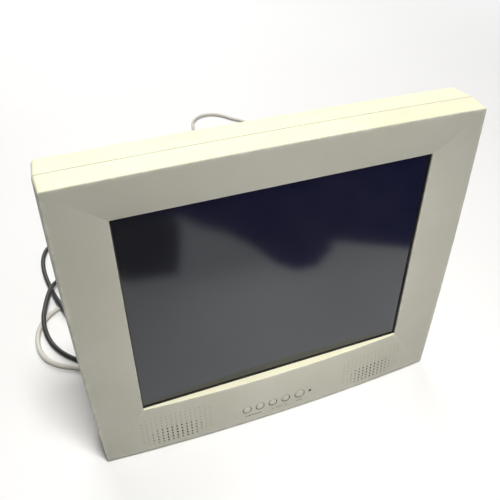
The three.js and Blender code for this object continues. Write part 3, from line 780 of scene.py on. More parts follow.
def copiesAt(points, shapeWork, name, finish, sizes=None):
    # one copy of the shape at each point, each with its own size where sizes are given
    shape = looseObject("shape", meshFrom("shape", shapeWork))
    mesh = bpy.data.meshes.new("points")
    mesh.from_pydata([tuple(p) for p in points], [], [])
    own = mesh.attributes.new("size", "FLOAT", "POINT")
    own.data.foreach_set("value", sizes or [1.0] * len(points))
    carrier = looseObject("carrier", mesh)
    step = carrier.modifiers.new("copies", "NODES")
    step.node_group = copiesTree
    values = {"Shape": shape, "Size": 1.0, "Finish": finish}
    for item in copiesTree.interface.items_tree:
        if item.in_out == "INPUT" and item.name in values:
            step[item.identifier] = values[item.name]
    result = baked(carrier, name)
    bpy.data.objects.remove(shape)
    return result


ringSteps = {"sides": (120, 56, 80, 56), "corner": 7}


def ringPoints(half, bottom, top, y, side=0.0, crown=0.0, corner=2.0, bulge=None):
    # round a rounded rectangle whose sides bow outwards, bottom edge first
    corners = [(-half, bottom), (half, bottom), (half, top), (-half, top)]
    bows = (0.0, side, crown, side)
    points = []
    for k, (x, z) in enumerate(corners):
        along = k * math.pi / 2
        nextX, nextZ = corners[(k + 1) % 4]
        length = math.hypot(nextX - x, nextZ - z)
        centreX = x + corner if x < 0 else x - corner
        centreZ = z + corner if k < 2 else z - corner
        for i in range(ringSteps["corner"]):
            angle = along - math.pi + (math.pi / 2) * i / (ringSteps["corner"] - 1)
            points.append((centreX + corner * math.cos(angle), y, centreZ + corner * math.sin(angle)))
        for i in range(1, ringSteps["sides"][k]):
            t = i / ringSteps["sides"][k]
            run = corner + (length - 2 * corner) * t
            bow = bows[k] * (1 - (2 * t - 1) ** 2)
            depth = bulge(t, y) if bulge and k == 0 else y
            points.append((x + math.cos(along) * run + math.sin(along) * bow, depth,
                           z + math.sin(along) * run - math.cos(along) * bow))
    return points


def shell(rings, closed):
    # rings of (points, edge value) skinned in order, with the edge value kept for the wear and for the
    # painted highlight along the bezel's lip
    work = bmesh.new()
    layer = work.verts.layers.float.new("edge")
    rows = []
    for points, edge in rings:
        row = [work.verts.new(spot(*p)) for p in points]
        for vert in row:
            vert[layer] = edge
        rows.append(row)
    return skin(work, rows, closed)


def frontEdge(inset, y):
    radius, least = head["frontCorner"]
    return ringPoints(head["halfWidth"] - inset, head["frontBottom"] + inset, head["frontTop"] - inset, y,
                      head["sideCrown"], head["topCrown"], max(least, radius - inset),
                      lambda t, depth: depth - head["chinBulge"] * (1 - (2 * t - 1) ** 2))


def lipRing(outset, y, ledge=False):
    curve = None
    if ledge:
        def curve(t, depth):
            return depth - head["lipFront"] + head["ledgeFront"] + head["ledgeBow"] * (2 * t - 1) ** 2
    return ringPoints(head["openingHalf"] + outset, head["openingBottom"] - outset,
                      head["openingTop"] + outset, y, corner=head["lipCorner"] + max(outset, 0.0),
                      bulge=curve)


def partingRing(inset, y, shrink=0.0):
    radius, least = head["partingCorner"]
    grow = head["flare"] - inset - shrink
    return ringPoints(head["halfWidth"] + grow, head["frontBottom"] - grow, head["frontTop"] + grow, y,
                      head["sideCrown"], head["topCrown"], max(least, radius - inset / 2))


def faceRing(share, thickness=0.0):
    # the face sinks from the front edge to the lip, slowly at first
    outer = frontEdge(0.0, 0.0)
    inner = lipRing(0.0, head["lipFront"], True)
    return [(a[0] + (b[0] - a[0]) * share, a[1] + (b[1] - a[1]) * share ** head["sink"] + thickness,
             a[2] + (b[2] - a[2]) * share) for a, b in zip(outer, inner)]


lipRound = {"lastShare": 0.99, "turns": (0.35, 0.7), "sink": 0.5, "soft": 0.3}


def softLip():
    # the small round between the face and the lip
    rings = []
    inner = lipRing(0.0, head["lipFront"], True)
    last = faceRing(lipRound["lastShare"])
    for turn in lipRound["turns"]:
        angle = turn * math.pi / 2
        soft = lipRound["soft"] * (1 - math.cos(angle))
        rings.append([(a[0] + (b[0] - a[0]) * math.sin(angle),
                       a[1] + (b[1] - a[1]) * turn * lipRound["sink"] + soft,
                       a[2] + (b[2] - a[2]) * math.sin(angle)) for a, b in zip(last, inner)])
    return rings


grille = {
    "x": 134.6, "lowRow": 13.28, "pitchX": 5.99, "pitchZ": 5.36,
    "columns": 7, "rows": 9, "throughRows": (4, 5, 5, 5, 4),
    "radius": 1.3, "relief": 2.35, "skin": 0.9, "drillReach": 14, "sides": 14,
    "dimple": 0.6, "punchRadius": 1.2, "punchFloor": 0.75, "punchReach": 6,
    "middleRow": 2.0, "fade": 0.032, "least": 0.66,  # the marks shrink away from the speaker's middle
}


def grillePlaces():
    through, dimples = [], []
    for side in (-1, 1):
        for row in range(grille["rows"]):
            reach = grille["columns"] if 0 < row < grille["rows"] - 1 else grille["columns"] - 1
            for column in range(-reach, reach + 1):
                x = side * grille["x"] + column * grille["pitchX"]
                z = grille["lowRow"] + row * grille["pitchZ"]
                away = math.hypot(column, row - grille["middleRow"])
                size = max(grille["least"], 1.0 - grille["fade"] * away ** 1.5)
                isOpen = row < len(grille["throughRows"]) and abs(column) <= grille["throughRows"][row]
                (through if isOpen else dimples).append((x, z, size))
    return through, dimples


controls = {
    "z": 27.2, "face": -7.95,
    "buttons": {"auto": (-44.7, 5.25), "menu": (-27.1, 5.25), "minus": (-9.6, 5.25), "plus": (8.1, 5.25),
                "power": (27.9, 6.35)},
    "clearance": 0.7, "shrink": 0.12, "wellFront": -30, "wellBack": 10,
    "lampX": 42.7, "lampRadius": 1.9, "lampGap": 0.25,
}


def bezelRings():
    # from the parting groove over the front edge and the face to the lip, and back along the inside
    wall = head["wall"]
    back = head["groove"] - head["grooveWidth"] / 2
    lipBack = head["lipBack"]
    shares = (0.1, 0.2, 0.3, 0.4, 0.5, 0.6, 0.7, 0.78, 0.86, 0.93)
    inner = lipRing(0.0, head["lipFront"], True)
    lipTop = [(p[0], p[1] + 0.55, p[2]) for p in inner]
    shelf = lipRing(wall, head["lipFront"], True)
    hidden = [(p[0], min(lipBack - 0.4, s[1] + wall), p[2])
              for p, s in zip(lipRing(wall, lipBack), shelf)]
    rings = [
        (partingRing(0.35, back), 0.8), (partingRing(0.0, back - 0.35), 0.9),
        (partingRing(0.9, back * 0.55), 0.0), (frontEdge(0.0, 2.0), 0.3),
        (frontEdge(0.06, 1.3), 0.9), (frontEdge(0.35, 0.6), 1.0), (frontEdge(0.95, 0.15), 0.9),
        (faceRing(0.035), 0.4),
    ]
    rings += [(faceRing(share), 0.0) for share in shares]
    rings += [(faceRing(0.97), 0.1), (faceRing(lipRound["lastShare"]), 0.6)]
    # the round into the lip carries a high edge value, where the bezel's light edge colour paints a highlight
    rings += [(points, 0.8) for points in softLip()]
    rings += [
        (lipTop, 0.5), (lipRing(0.0, lipBack), 0.0), (lipRing(wall, lipBack), 0.0), (hidden, 0.0),
        (faceRing(0.88, wall - 0.2), 0.0), (faceRing(0.5, wall - 0.1), 0.0),
        (frontEdge(wall, wall + 0.4), 0.0), (partingRing(wall, back - 3.0), 0.0),
        (partingRing(wall, back + 2.6), 0.0), (partingRing(1.35, back + 2.6), 0.0),
        (partingRing(1.35, back), 0.0),
    ]
    return rings


def grilleCutters(onFace):
    # drills that widen behind the skin, and punches for the blind marks round them, both leaving walls of
    # painted shade
    def atPlaces(places, shape, name, finish):
        points = [onFace(x, z) for x, z, size in places]
        return copiesAt(points, shape, name, materials[finish], [size for x, z, size in places])

    through, dimples = grillePlaces()
    origin = Vector((0, 0, 0))
    reach, hole, relief, depth = (grille[key] for key in ("drillReach", "radius", "relief", "skin"))
    drill = lathe([(0, -reach), (hole, -reach), (hole, depth), (relief, depth), (relief, reach), (0, reach)],
                  grille["sides"], origin)
    holes = atPlaces(through, drill, "grilleDrills", "paintedHoleShade")
    reach, wide, floor, depth = (grille[key] for key in ("punchReach", "punchRadius", "punchFloor", "dimple"))
    punch = lathe([(0, -reach), (wide, -reach), (wide, 0.1), (floor, depth), (0, depth + 0.05)],
                  grille["sides"], origin)
    return holes, atPlaces(dimples, punch, "grillePunches", "paintedDimpleShade")


def controlWells():
    front, back = controls["wellFront"], controls["wellBack"]
    wells = []
    for x, radius in controls["buttons"].values():
        wells.append(rod(radius + controls["clearance"], front, back, 56, spot(x, 0, controls["z"])))
    size = controls["lampRadius"] + controls["lampGap"]
    wells.append(rod(size, front, back, 32, spot(controls["lampX"], 0, controls["z"])))
    return wells


def makeBezel():
    whole = meshFrom("bezelWhole", shell(bezelRings(), True))
    surface = BVHTree.FromPolygons([v.co for v in whole.vertices], [p.vertices for p in whole.polygons])

    def onFace(x, z):
        return surface.ray_cast(spot(x, -60, z), Vector((0, 1, 0)))[0]

    plastic = materials["shadedBezelPlastic"]
    holes, pits = grilleCutters(onFace)
    # the wells round the buttons take painted shade in the gaps
    wells = joined(controlWells(), "wells", materials["paintedHoleShade"])
    seats = joined([padSeat("pad_front_left"), padSeat("pad_front_right")], "seats", plastic)
    mesh = cutAway(whole, [holes, pits, wells, seats], "bezelShell", plastic)
    finishPiece("bezelShell", mesh, plastic, "head", ["front_bezel"])
    return onFace


housing = {"half": 165.0, "rearHalf": 154.0, "bottom": 104.0, "top": 345.0, "rearTop": 330.0,
           "rim": 59.0, "back": 86.0, "corner": 12.0}
vents = {"pitch": 10.0, "width": 4.0, "reach": 13, "top": (296.0, 322.0), "bottom": (116.0, 138.0)}


def housingRing(inset, y, rear):
    half = housing["rearHalf"] if rear else housing["half"]
    top = housing["rearTop"] if rear else housing["top"]
    return ringPoints(half - inset, housing["bottom"] + inset, top - inset, y,
                      corner=housing["corner"] - min(inset, 4) * 0.5)


def slotCutter(width, low, high, y0, y1):
    # an upright slot with round ends, about the origin in x
    work = bmesh.new()
    radius = width / 2
    steps = 8
    outline = []
    for centre, begin in ((high - radius, 0), (low + radius, math.pi)):
        for i in range(steps + 1):
            angle = begin + math.pi * i / steps
            outline.append((radius * math.cos(angle), centre + radius * math.sin(angle)))
    rows = [[work.verts.new(Vector((x, y, z)) * mm) for x, z in outline] for y in (y0, y1)]
    return skin(work, rows)


coverCuts = {
    "socketRoom": {"video_socket": 0.6, "power_inlet": 0.3}, "socketDrop": 8, "socketTop": 112.0,
    "jackRadius": 4.3, "jackReach": 10,
    "lockX": -190.0, "lockSlot": (3.0, 60, 67, 50, 64),  # width, low and high, front and back
    "ventFront": -9.0, "ventBack": 9.0,
}


def coverRings():
    # from the back of the electronics housing round the rim to the groove, and back along the inside
    wall = head["wall"]
    rim, back = housing["rim"], housing["back"]
    front = head["groove"] + head["grooveWidth"] / 2
    return [
        (housingRing(5.0, back, True), 0.0), (housingRing(2.6, back - 0.25, True), 0.6),
        (housingRing(1.1, back - 1.0, True), 0.9), (housingRing(0.3, back - 2.2, True), 0.6),
        (housingRing(0.0, back - 4.0, True), 0.1), (housingRing(-0.6, rim + 2.2, False), 0.1),
        (housingRing(-1.6, rim + 0.5, False), 0.2), (housingRing(-3.0, rim, False), 0.0),
        (partingRing(4.6, rim, 1.6), 0.0), (partingRing(2.6, rim - 0.3, 1.6), 0.6),
        (partingRing(1.2, rim - 1.1, 1.6), 0.9), (partingRing(0.35, rim - 2.3, 1.6), 0.7),
        (partingRing(0.0, rim - 4.0, 1.5), 0.1), (partingRing(0.0, front + 8.0, 0.4), 0.0),
        (partingRing(0.0, front + 0.35), 0.9), (partingRing(0.35, front), 0.8),
        (partingRing(1.15, front), 0.0), (partingRing(1.15, front + 3.0), 0.0),
        (partingRing(wall, front + 3.0), 0.0), (partingRing(wall, rim - 5.0, 1.5), 0.0),
        (partingRing(wall + 3.4, rim - wall, 1.5), 0.0), (housingRing(wall - 1.0, rim - wall, False), 0.0),
        (housingRing(wall, rim, False), 0.0), (housingRing(wall, back - 5.0, True), 0.0),
        (housingRing(5.0, back - wall, True), 0.0),
    ]


def ventCutters(plastic):
    # upright slots in two rows, with a gap in the middle of the lower one
    cutters = []
    for (low, high), skip in ((vents["top"], 0), (vents["bottom"], 2)):
        shape = slotCutter(vents["width"], low, high, coverCuts["ventFront"], coverCuts["ventBack"])
        places = [spot(i * vents["pitch"], housing["back"], 0)
                  for i in range(-vents["reach"], vents["reach"] + 1) if abs(i) >= skip]
        cutters.append(copiesAt(places, shape, "ventSlots", plastic))
    return cutters


def coverWells():
    wells = []
    for index in range(1, 5):
        middle = nodeMiddle(f"case_screw_{index}")
        seat = Vector((middle.x, frontPlane + housing["rim"] * mm, middle.z))
        wells.append(lathe([(0, -9), (2.0, -9), (2.0, 0.0), (4.4, 0.0), (4.9, 9), (0, 9)], 32, seat))
        middle = nodeMiddle(f"mount_insert_{index}")
        seat = Vector((middle.x, frontPlane + housing["back"] * mm, middle.z))
        wells.append(lathe([(0, -9), (2.2, -9), (2.2, -0.8), (3.0, 0.2), (3.0, 9), (0, 9)], 32, seat))
    for node, grow in coverCuts["socketRoom"].items():
        low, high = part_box(node)
        room = Vector((grow, grow, coverCuts["socketDrop"])) * mm
        top = Vector((high.x, high.y, coverCuts["socketTop"] * mm)) + Vector((grow, grow, 0)) * mm
        wells.append(roundedBlock(low - room, top, 0.5, 2))
    middle = nodeMiddle("audio_jack")
    wells.append(rod(coverCuts["jackRadius"], -coverCuts["jackReach"], coverCuts["jackReach"], 32,
                     Vector((middle.x, middle.y, housing["bottom"] * mm)), "Z"))
    wells += [padSeat("pad_rear_left"), padSeat("pad_rear_right")]
    wells += shifted([slotCutter(*coverCuts["lockSlot"])], Vector((coverCuts["lockX"] * mm, frontPlane, 0)))
    return wells


def makeRearCover():
    plastic = materials["coverPlastic"]
    whole = meshFrom("coverWhole", shell(coverRings(), False))
    cutters = ventCutters(plastic) + [joined(coverWells(), "wells", plastic)]
    mesh = cutAway(whole, cutters, "rearShell", plastic)
    finishPiece("rearShell", mesh, plastic, "head", ["rear_cover"])


capShape = {
    "dome": 0.75, "domeFall": 0.4, "domeReach": 0.93, "domeSteps": 8,
    "flange": 1.2, "flangeFront": -4.1, "flangeBack": -3.1, "stem": 2.2, "stemEnd": 2.6,
    "wornFrom": 0.7,
}


def capProfile(radius):
    # a gently domed cap with a soft rim, over a flange and a stem
    face = controls["face"]
    crown = face - capShape["dome"]
    profile = [(0, crown)]
    for step in range(1, capShape["domeSteps"]):
        share = step / capShape["domeSteps"]
        profile.append((radius * share * capShape["domeReach"], crown + capShape["domeFall"] * share ** 4))
    profile += [(radius - 0.3, face - 0.16), (radius - 0.06, face + 0.15), (radius, face + 0.5)]
    flange = radius + capShape["flange"]
    profile += [(radius, capShape["flangeFront"]), (flange, capShape["flangeFront"]),
                (flange, capShape["flangeBack"]), (capShape["stem"], capShape["flangeBack"]),
                (capShape["stem"], capShape["stemEnd"]), (0, capShape["stemEnd"])]
    return profile


def makeButtons():
    z = controls["z"]
    for name, (x, fullRadius) in controls["buttons"].items():
        radius = fullRadius - controls["shrink"]
        work = lathe(capProfile(radius), 56, spot(x, 0, z))
        layer = work.verts.layers.float.new("edge")
        for vert in work.verts:
            away = math.hypot(vert.co.x - x * mm, vert.co.z - z * mm) / (radius * mm)
            vert[layer] = max(0.0, away - capShape["wornFrom"]) * 2
        finishPiece(f"cap_{name}", meshFrom(f"cap_{name}", work), materials["shadedButtonPlastic"],
                    f"button_{name}", [f"button_{name}"])
    radius, face = controls["lampRadius"], controls["face"]
    profile = [(0, face - 0.1), (radius * 0.6, face), (radius * 0.92, face + 0.25), (radius, face + 0.6),
               (radius, 3.8), (0, 3.8)]
    lens = lathe(profile, 32, spot(controls["lampX"], 0, z))
    finishPiece("lampLens", meshFrom("lampLens", lens), materials["lampLens"], "head",
                ["power_lamp"])


markRows = {
    "z": 15.2, "height": 1.7, "lift": 0.04, "thickness": 0.08,
    "dashes": [  # middle and width
        (-46.0, 2.2), (-41.4, 4.4), (-36.6, 3.6), (-32.0, 4.0), (-27.4, 3.4), (-9.6, 2.2), (-4.4, 2.0),
        (-1.0, 3.2), (2.4, 2.0), (8.1, 2.4), (24.8, 2.2), (28.2, 3.2), (31.4, 1.6),
    ],
}


def makeMarks(onFace):
    # plain printed dashes below the buttons
    work = bmesh.new()
    low = markRows["z"] - markRows["height"] / 2
    high = markRows["z"] + markRows["height"] / 2
    lift = Vector((0, markRows["lift"] * mm, 0))
    depth = Vector((0, markRows["thickness"] * mm, 0))
    for x, width in markRows["dashes"]:
        corners = ((-0.5, low), (0.5, low), (0.5, high), (-0.5, high))
        front = [work.verts.new(onFace(x + side * width, z) - lift) for side, z in corners]
        back = [work.verts.new(vert.co + depth) for vert in front]
        skin(work, [front, back])
    finishPiece("buttonMarks", meshFrom("buttonMarks", work), materials["markInk"], "head")


screws = {"count": 4, "crossLong": 2.0, "crossThin": 0.42, "crossDepth": 1.1, "crossProud": 1.5}


def makeScrews():
    crossLong, crossThin = screws["crossLong"], screws["crossThin"]
    profile = [(0, -27), (1.5, -27), (1.5, -2.0), (3.4, -2.0), (3.4, -1.1), (2.9, -0.4), (1.9, -0.06), (0, 0)]
    for index in range(1, screws["count"] + 1):
        low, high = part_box(f"case_screw_{index}")
        middle = (low + high) / 2
        seat = Vector((middle.x, high.y, middle.z))
        cross = []
        for wide, tall in ((crossLong, crossThin), (crossThin, crossLong)):
            inner = seat - Vector((wide, screws["crossDepth"], tall)) * mm
            outer = seat + Vector((wide, screws["crossProud"], tall)) * mm
            cross.append(meshFrom("cross", roundedBlock(inner, outer, 0.05, 1)))
        mesh = cutAway(meshFrom("screw", lathe(profile, 40, seat)), cross, f"screw_{index}")
        finishPiece(f"screwHead_{index}", mesh, materials["platedSteel"], "head",
                    [f"case_screw_{index}"])


pads = {
    "case": ("pad_front_left", "pad_front_right", "pad_rear_left", "pad_rear_right"),
    "foot": ("foot_pad_left", "foot_pad_right"),
}


def makePads():
    for node in pads["case"]:
        low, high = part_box(node)
        mesh = meshFrom(node, roundedBlock(low, high, 0.5, 3))
        finishPiece(f"{node}_soft", mesh, materials["rubberPad"], "head", [node])
    for node in pads["foot"]:
        middle = nodeMiddle(node)
        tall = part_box(node)[1].z / mm
        profile = [(0, 0.25), (5.6, 0.25), (6.0, 0), (7.4, 0), (7.9, 0.5), (7.9, tall), (0, tall)]
        mesh = meshFrom(node, lathe(profile, 40, Vector((middle.x, middle.y, 0)), "Z"))
        finishPiece(f"{node}_soft", mesh, materials["rubberPad"], "rear_foot", [node])


foot = {
    "axisY": 78.0, "axisZ": 24.0, "radius": 8.0, "half": 38.0, "edge": 70.0, "end": 190.0,
    "corner": 26.0, "shoulder": 20.0, "shoulderY": 34.0, "bottom": 4.0, "top": 12.0,
    "bore": 3.25, "boreReach": 60, "pinRadius": 2.95, "pinEnd": 2.4, "pinChamfer": 0.6, "pinProud": 12,
    "grooves": 6, "groovePitch": 7, "firstGroove": 22, "grooveSize": (46.0, 1.1, 0.9),
}


def acrossProfile(points, x0, x1):
    work = bmesh.new()
    return skin(work, [[work.verts.new(spot(x, y, z)) for y, z in points] for x in (x0, x1)])


def arc(centre, radius, begin, finish, steps):
    return [(centre[0] + radius * math.cos(math.radians(begin + (finish - begin) * i / steps)),
             centre[1] + radius * math.sin(math.radians(begin + (finish - begin) * i / steps)))
            for i in range(steps + 1)]


def beveled(mesh, width, segments, name, limit=35.0):
    thing = looseObject("bevelTarget", mesh)
    step = thing.modifiers.new("bevel", "BEVEL")
    step.width = width * mm
    step.segments = segments
    step.limit_method = "ANGLE"
    step.angle_limit = math.radians(limit)
    return baked(thing, name)


def pinBore():
    reach = foot["boreReach"]
    place = spot(0, foot["axisY"], foot["axisZ"])
    return meshFrom("bore", rod(foot["bore"], -reach, reach, 40, place, "X"))


def footSole():
    # a flat sole that widens behind the knuckle, with round rear corners
    y, half, edge, end = foot["axisY"], foot["half"], foot["edge"], foot["end"]
    corner, shoulder, shoulderY = foot["corner"], foot["shoulder"], foot["axisY"] + foot["shoulderY"]
    outline = [(-half, y + 6), (half, y + 6)] + arc((edge - shoulder, shoulderY), shoulder, -50, 0, 6)
    outline += arc((edge - corner, end - corner), corner, 0, 90, 12)
    outline += arc((-edge + corner, end - corner), corner, 90, 180, 12)
    outline += arc((-edge + shoulder, shoulderY), shoulder, 180, 230, 6)
    work = bmesh.new()
    rows = [[work.verts.new(spot(px, py, pz)) for px, py in outline] for pz in (foot["bottom"], foot["top"])]
    return beveled(meshFrom("sole", skin(work, rows)), 1.8, 3, "sole")


def footWeb():
    # knuckle and web in one outline
    y, z, bottom, top = foot["axisY"], foot["axisZ"], foot["bottom"], foot["top"]
    web = arc((y, z), foot["radius"], -20, 200, 22)
    web += [(y - 7.4, 14.0), (y - 6.0, bottom), (y + 24.0, bottom), (y + 24.0, top), (y + 13.0, top + 0.6),
            (y + 8.6, top + 5.0)]
    return meshFrom("web", acrossProfile(web, -foot["half"], foot["half"]))


def makeFootShell():
    web = footWeb()
    target = looseObject("footTarget", footSole())
    other = looseObject("footWeb", web)
    step = target.modifiers.new("join", "BOOLEAN")
    step.operation = "UNION"
    step.solver = "EXACT"
    step.object = other
    mesh = baked(target, "foot")
    bpy.data.objects.remove(other)
    # long grip grooves across the top of the sole
    size = Vector(foot["grooveSize"]) * mm
    places = [spot(0, foot["end"] - foot["firstGroove"] - foot["groovePitch"] * i, foot["top"])
              for i in range(foot["grooves"])]
    grooves = copiesAt(places, roundedBlock(-size, size, 0.5, 2), "grooves", materials["coverPlastic"])
    mesh = cutAway(mesh, [pinBore(), grooves], "rearFoot")
    finishPiece("rearFootShell", mesh, materials["coverPlastic"], "rear_foot",
                ["rear_foot"])


def makeBrackets():
    y, z = foot["axisY"], foot["axisZ"]
    rim = housing["rim"] + 0.3
    arm = [(rim, z - 14), (rim + 3.6, z - 14), (rim + 5.4, z - 12.6), (y - 4.2, z - 7.4)]
    arm += arc((y, z), foot["radius"], -100, 100, 22)
    arm += [(y - 4.2, z + 7.4), (rim + 5.4, z + 12.6), (rim + 3.6, z + 14), (rim, z + 14)]
    for name in ("left", "right"):
        low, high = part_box(f"hinge_bracket_{name}")
        solid = beveled(meshFrom("arm", acrossProfile(arm, low.x / mm, high.x / mm)), 0.7, 3, "arm", 50.0)
        mesh = cutAway(solid, [pinBore()], f"bracket_{name}")
        finishPiece(f"bracket_{name}", mesh, materials["coverPlastic"], "head",
                    [f"hinge_bracket_{name}"])


def makeHingePin():
    reach = foot["half"] + foot["pinProud"]
    inner = reach - foot["pinChamfer"]
    profile = [(0, -reach), (foot["pinEnd"], -reach), (foot["pinRadius"], -inner),
               (foot["pinRadius"], inner), (foot["pinEnd"], reach), (0, reach)]
    pin = lathe(profile, 36, spot(0, foot["axisY"], foot["axisZ"]), "X")
    finishPiece("hingePin", meshFrom("hingePin", pin), materials["platedSteel"], "head",
                ["hinge_pin"])


dTall, dCut = 4.1, 1.6


def dOutline(half, tall):
    # the D-shaped outline of a connector, wide side on the positive side
    return [(-half, tall), (half, tall), (half - dCut, -tall), (-half + dCut, -tall)]


def dShell(half, steps, placeAt):
    # a thin metal shell, by steps of (inset, along) out to its rim and back down inside
    work = bmesh.new()
    rows = []
    for inset, along in steps:
        outline = dOutline(half - inset, dTall - inset)
        rows.append([work.verts.new(placeAt(across, tall, along)) for across, tall in outline])
    return skin(work, rows)


socketShape = {
    "plateHalf": 6.2, "plateLow": 106.6, "plateHigh": 107.8, "boltX": 12.5, "shellHalf": 8.2,
    "shellSteps": ((0, 107.0), (0, 101.6), (0.5, 101.6), (0.5, 106.0)),
    "bodyHalf": (12.0, 6.0), "bodyLow": 108.0, "bodyHigh": 119.0,
}


def makeSockets():
    low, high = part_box("video_socket")
    middle = (low + high) / 2
    plateLow, plateHigh = socketShape["plateLow"] * mm, socketShape["plateHigh"] * mm
    plateHalf = socketShape["plateHalf"] * mm
    works = [roundedBlock(Vector((low.x, middle.y - plateHalf, plateLow)),
                          Vector((high.x, middle.y + plateHalf, plateHigh)), 0.4, 2)]
    bolt = [(0, 0.4), (2.5, 0.4), (2.5, -4.6), (1.5, -4.6), (1.5, -1.5), (0, -1.5)]
    for side in (-1, 1):
        place = Vector((middle.x + side * socketShape["boltX"] * mm, middle.y, plateLow))
        works.append(lathe(bolt, 6, place, "Z"))

    def shellPlace(across, tall, along):
        return Vector((middle.x + across * mm, middle.y + tall * mm, along * mm))

    works.append(dShell(socketShape["shellHalf"], socketShape["shellSteps"], shellPlace))
    halfX, halfY = (half * mm for half in socketShape["bodyHalf"])
    works.append(roundedBlock(Vector((middle.x - halfX, middle.y - halfY, socketShape["bodyLow"] * mm)),
                              Vector((middle.x + halfX, middle.y + halfY, socketShape["bodyHigh"] * mm)),
                              0.5, 2))
    finishPiece("videoSocketShell", joined(works, "videoSocket"), materials["platedSteel"], "head",
                ["video_socket"])


leads = {"diameter": 7.0, "powerLength": 1.8, "videoLength": 1.45}


def routePoints(points):
    return [spot(*p) for p in points]


def powerRoute():
    x = nodeMiddle("power_inlet").x / mm
    y = (nodeMiddle("power_inlet").y - frontPlane) / mm
    return [
        (x, y, 52), (x, y, 45), (x, y, 37.9), (-85.8, 73.8, 25.1), (-90.9, 78.9, 14.5),
        (-98.6, 86.6, 7.2), (-109, 97, 4.3), (-127, 110.5, 3.9), (-151, 124.5, 3.9), (-180, 141, 3.9),
        (-212, 160, 3.9), (-239, 181, 3.9), (-257, 205, 3.9), (-267, 230, 4.4), (-270.5, 252, 8.5),
        (-269.5, 274, 11.7), (-266, 296, 9.4), (-260, 318, 10), (-251.5, 338, 11.7), (-239, 357, 8.5),
        (-222, 378, 4.2), (-204, 397, 3.9), (-187, 416, 3.9), (-178.5, 436, 3.9), (-180.6, 454, 3.9),
        (-190.5, 469, 3.9), (-206, 476.5, 3.9), (-223, 475.5, 3.9), (-238, 467, 3.9),
        (-249, 452.5, 3.9), (-255.5, 435, 3.9), (-258.5, 411, 3.9), (-257.5, 382, 3.9),
        (-254, 355, 3.9), (-250, 331, 4.2), (-243.5, 299, 11.7), (-236, 273, 7.5), (-225, 244, 3.9),
        (-208, 211, 3.9), (-183, 187, 3.9), (-148.3, 180.3, 3.9),
    ]


def videoRoute():
    x = nodeMiddle("video_socket").x / mm
    y = (nodeMiddle("video_socket").y - frontPlane) / mm
    return [
        (x, y, 46), (x, y, 42), (x, y, 37.9), (-128, 73.7, 24.9),
        (-133.6, 78.5, 13.9), (-142, 85.6, 6.5), (-151.9, 94, 4), (-169, 108, 3.9), (-190, 125, 3.9),
        (-214, 146, 3.9), (-238, 163, 3.9), (-257, 174, 3.9),
        (-273, 190, 3.9), (-282, 212, 3.9), (-283, 240, 3.9), (-276, 264, 3.9), (-262, 283, 3.9),
        (-243, 296, 3.9),
        (-215, 310, 3.9), (-176, 326, 3.9), (-126, 337, 3.9), (-70, 344, 3.9), (-18, 362, 3.9),
        (10, 402, 3.9),
        (0, 450, 3.9), (-50, 484, 3.9), (-88, 520, 3.9), (-88, 572, 3.9), (-46, 610, 3.9), (14, 632, 3.9),
        (70, 662, 3.9), (104, 712, 3.9), (119, 766, 3.9), (128, 812, 3.9), (137, 844, 3.9), (154, 864, 3.9),
        (175, 872, 3.9), (198, 867, 3.9), (217, 850, 3.9), (231, 830, 3.9), (250, 808, 3.9), (262, 780, 5.6),
        (264, 752, 7.4),
    ]


coilPlan = {
    "x": -120.0, "y": 222.0, "outer": 42.0, "inner": 35.0, "low": 3.7, "high": 10.9, "perTurn": 16,
    "easeSteps": 3,
}


def coilTurns():
    # one turn outside, one inside, one inside above and a last quarter outside above
    outer, inner, low, high = (coilPlan[key] for key in ("outer", "inner", "low", "high"))
    plan = [(1.0, outer, low), (1.0, inner, low), (1.0, inner, high), (0.25, outer, high)]
    points = []
    angle = -90.0
    step = 360.0 / coilPlan["perTurn"]
    radius, height = outer, low
    for share, nextRadius, nextHeight in plan:
        for i in range(round(share * coilPlan["perTurn"])):
            ease = min(1.0, (i + 1) / coilPlan["easeSteps"])
            reach = radius + (nextRadius - radius) * ease
            points.append((coilPlan["x"] + reach * math.cos(math.radians(angle)),
                           coilPlan["y"] + reach * math.sin(math.radians(angle)),
                           height + (nextHeight - height) * ease))
            angle += step
        radius, height = nextRadius, nextHeight
    points.append((coilPlan["x"] + radius, coilPlan["y"], height))
    return points


def leadCurve(name, points, material):
    # one open spline through the points, with the tangents of a centripetal curve
    data = bpy.data.curves.new(name, "CURVE")
    data.dimensions = "3D"
    data.bevel_depth = leads["diameter"] / 2 * mm
    data.bevel_resolution = 4
    data.resolution_u = 8
    data.use_fill_caps = True
    spline = data.splines.new("BEZIER")
    spline.bezier_points.add(len(points) - 1)
    for i, point in enumerate(points):
        before = points[i - 1] if i else points[0] * 2 - points[1]
        after = points[i + 1] if i + 1 < len(points) else points[-1] * 2 - points[-2]
        gapIn = max((point - before).length, 1e-6) ** 0.5
        gapOut = max((after - point).length, 1e-6) ** 0.5
        tangent = (point - before) / gapIn - (after - before) / (gapIn + gapOut) + (after - point) / gapOut
        knot = spline.bezier_points[i]
        knot.handle_left_type = knot.handle_right_type = "FREE"
        knot.co = point
        knot.handle_left = point - tangent * gapIn / 3
        knot.handle_right = point + tangent * gapOut / 3
    data.materials.append(material)
    lead = bpy.data.objects.new(name, data)
    scene.collection.objects.link(lead)
    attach(lead, "head")
    return lead


ribCount = 5


def ribbedTaper(ridge, radius, radiusGain, along, alongGain):
    # a taper with rounded ribs, each made of (share of its length, how proud) steps
    profile = []
    for i in range(ribCount):
        for share, proud in ridge:
            t = (i + share) / ribCount
            profile.append((radius + radiusGain * t + proud, along + alongGain * t))
    return profile


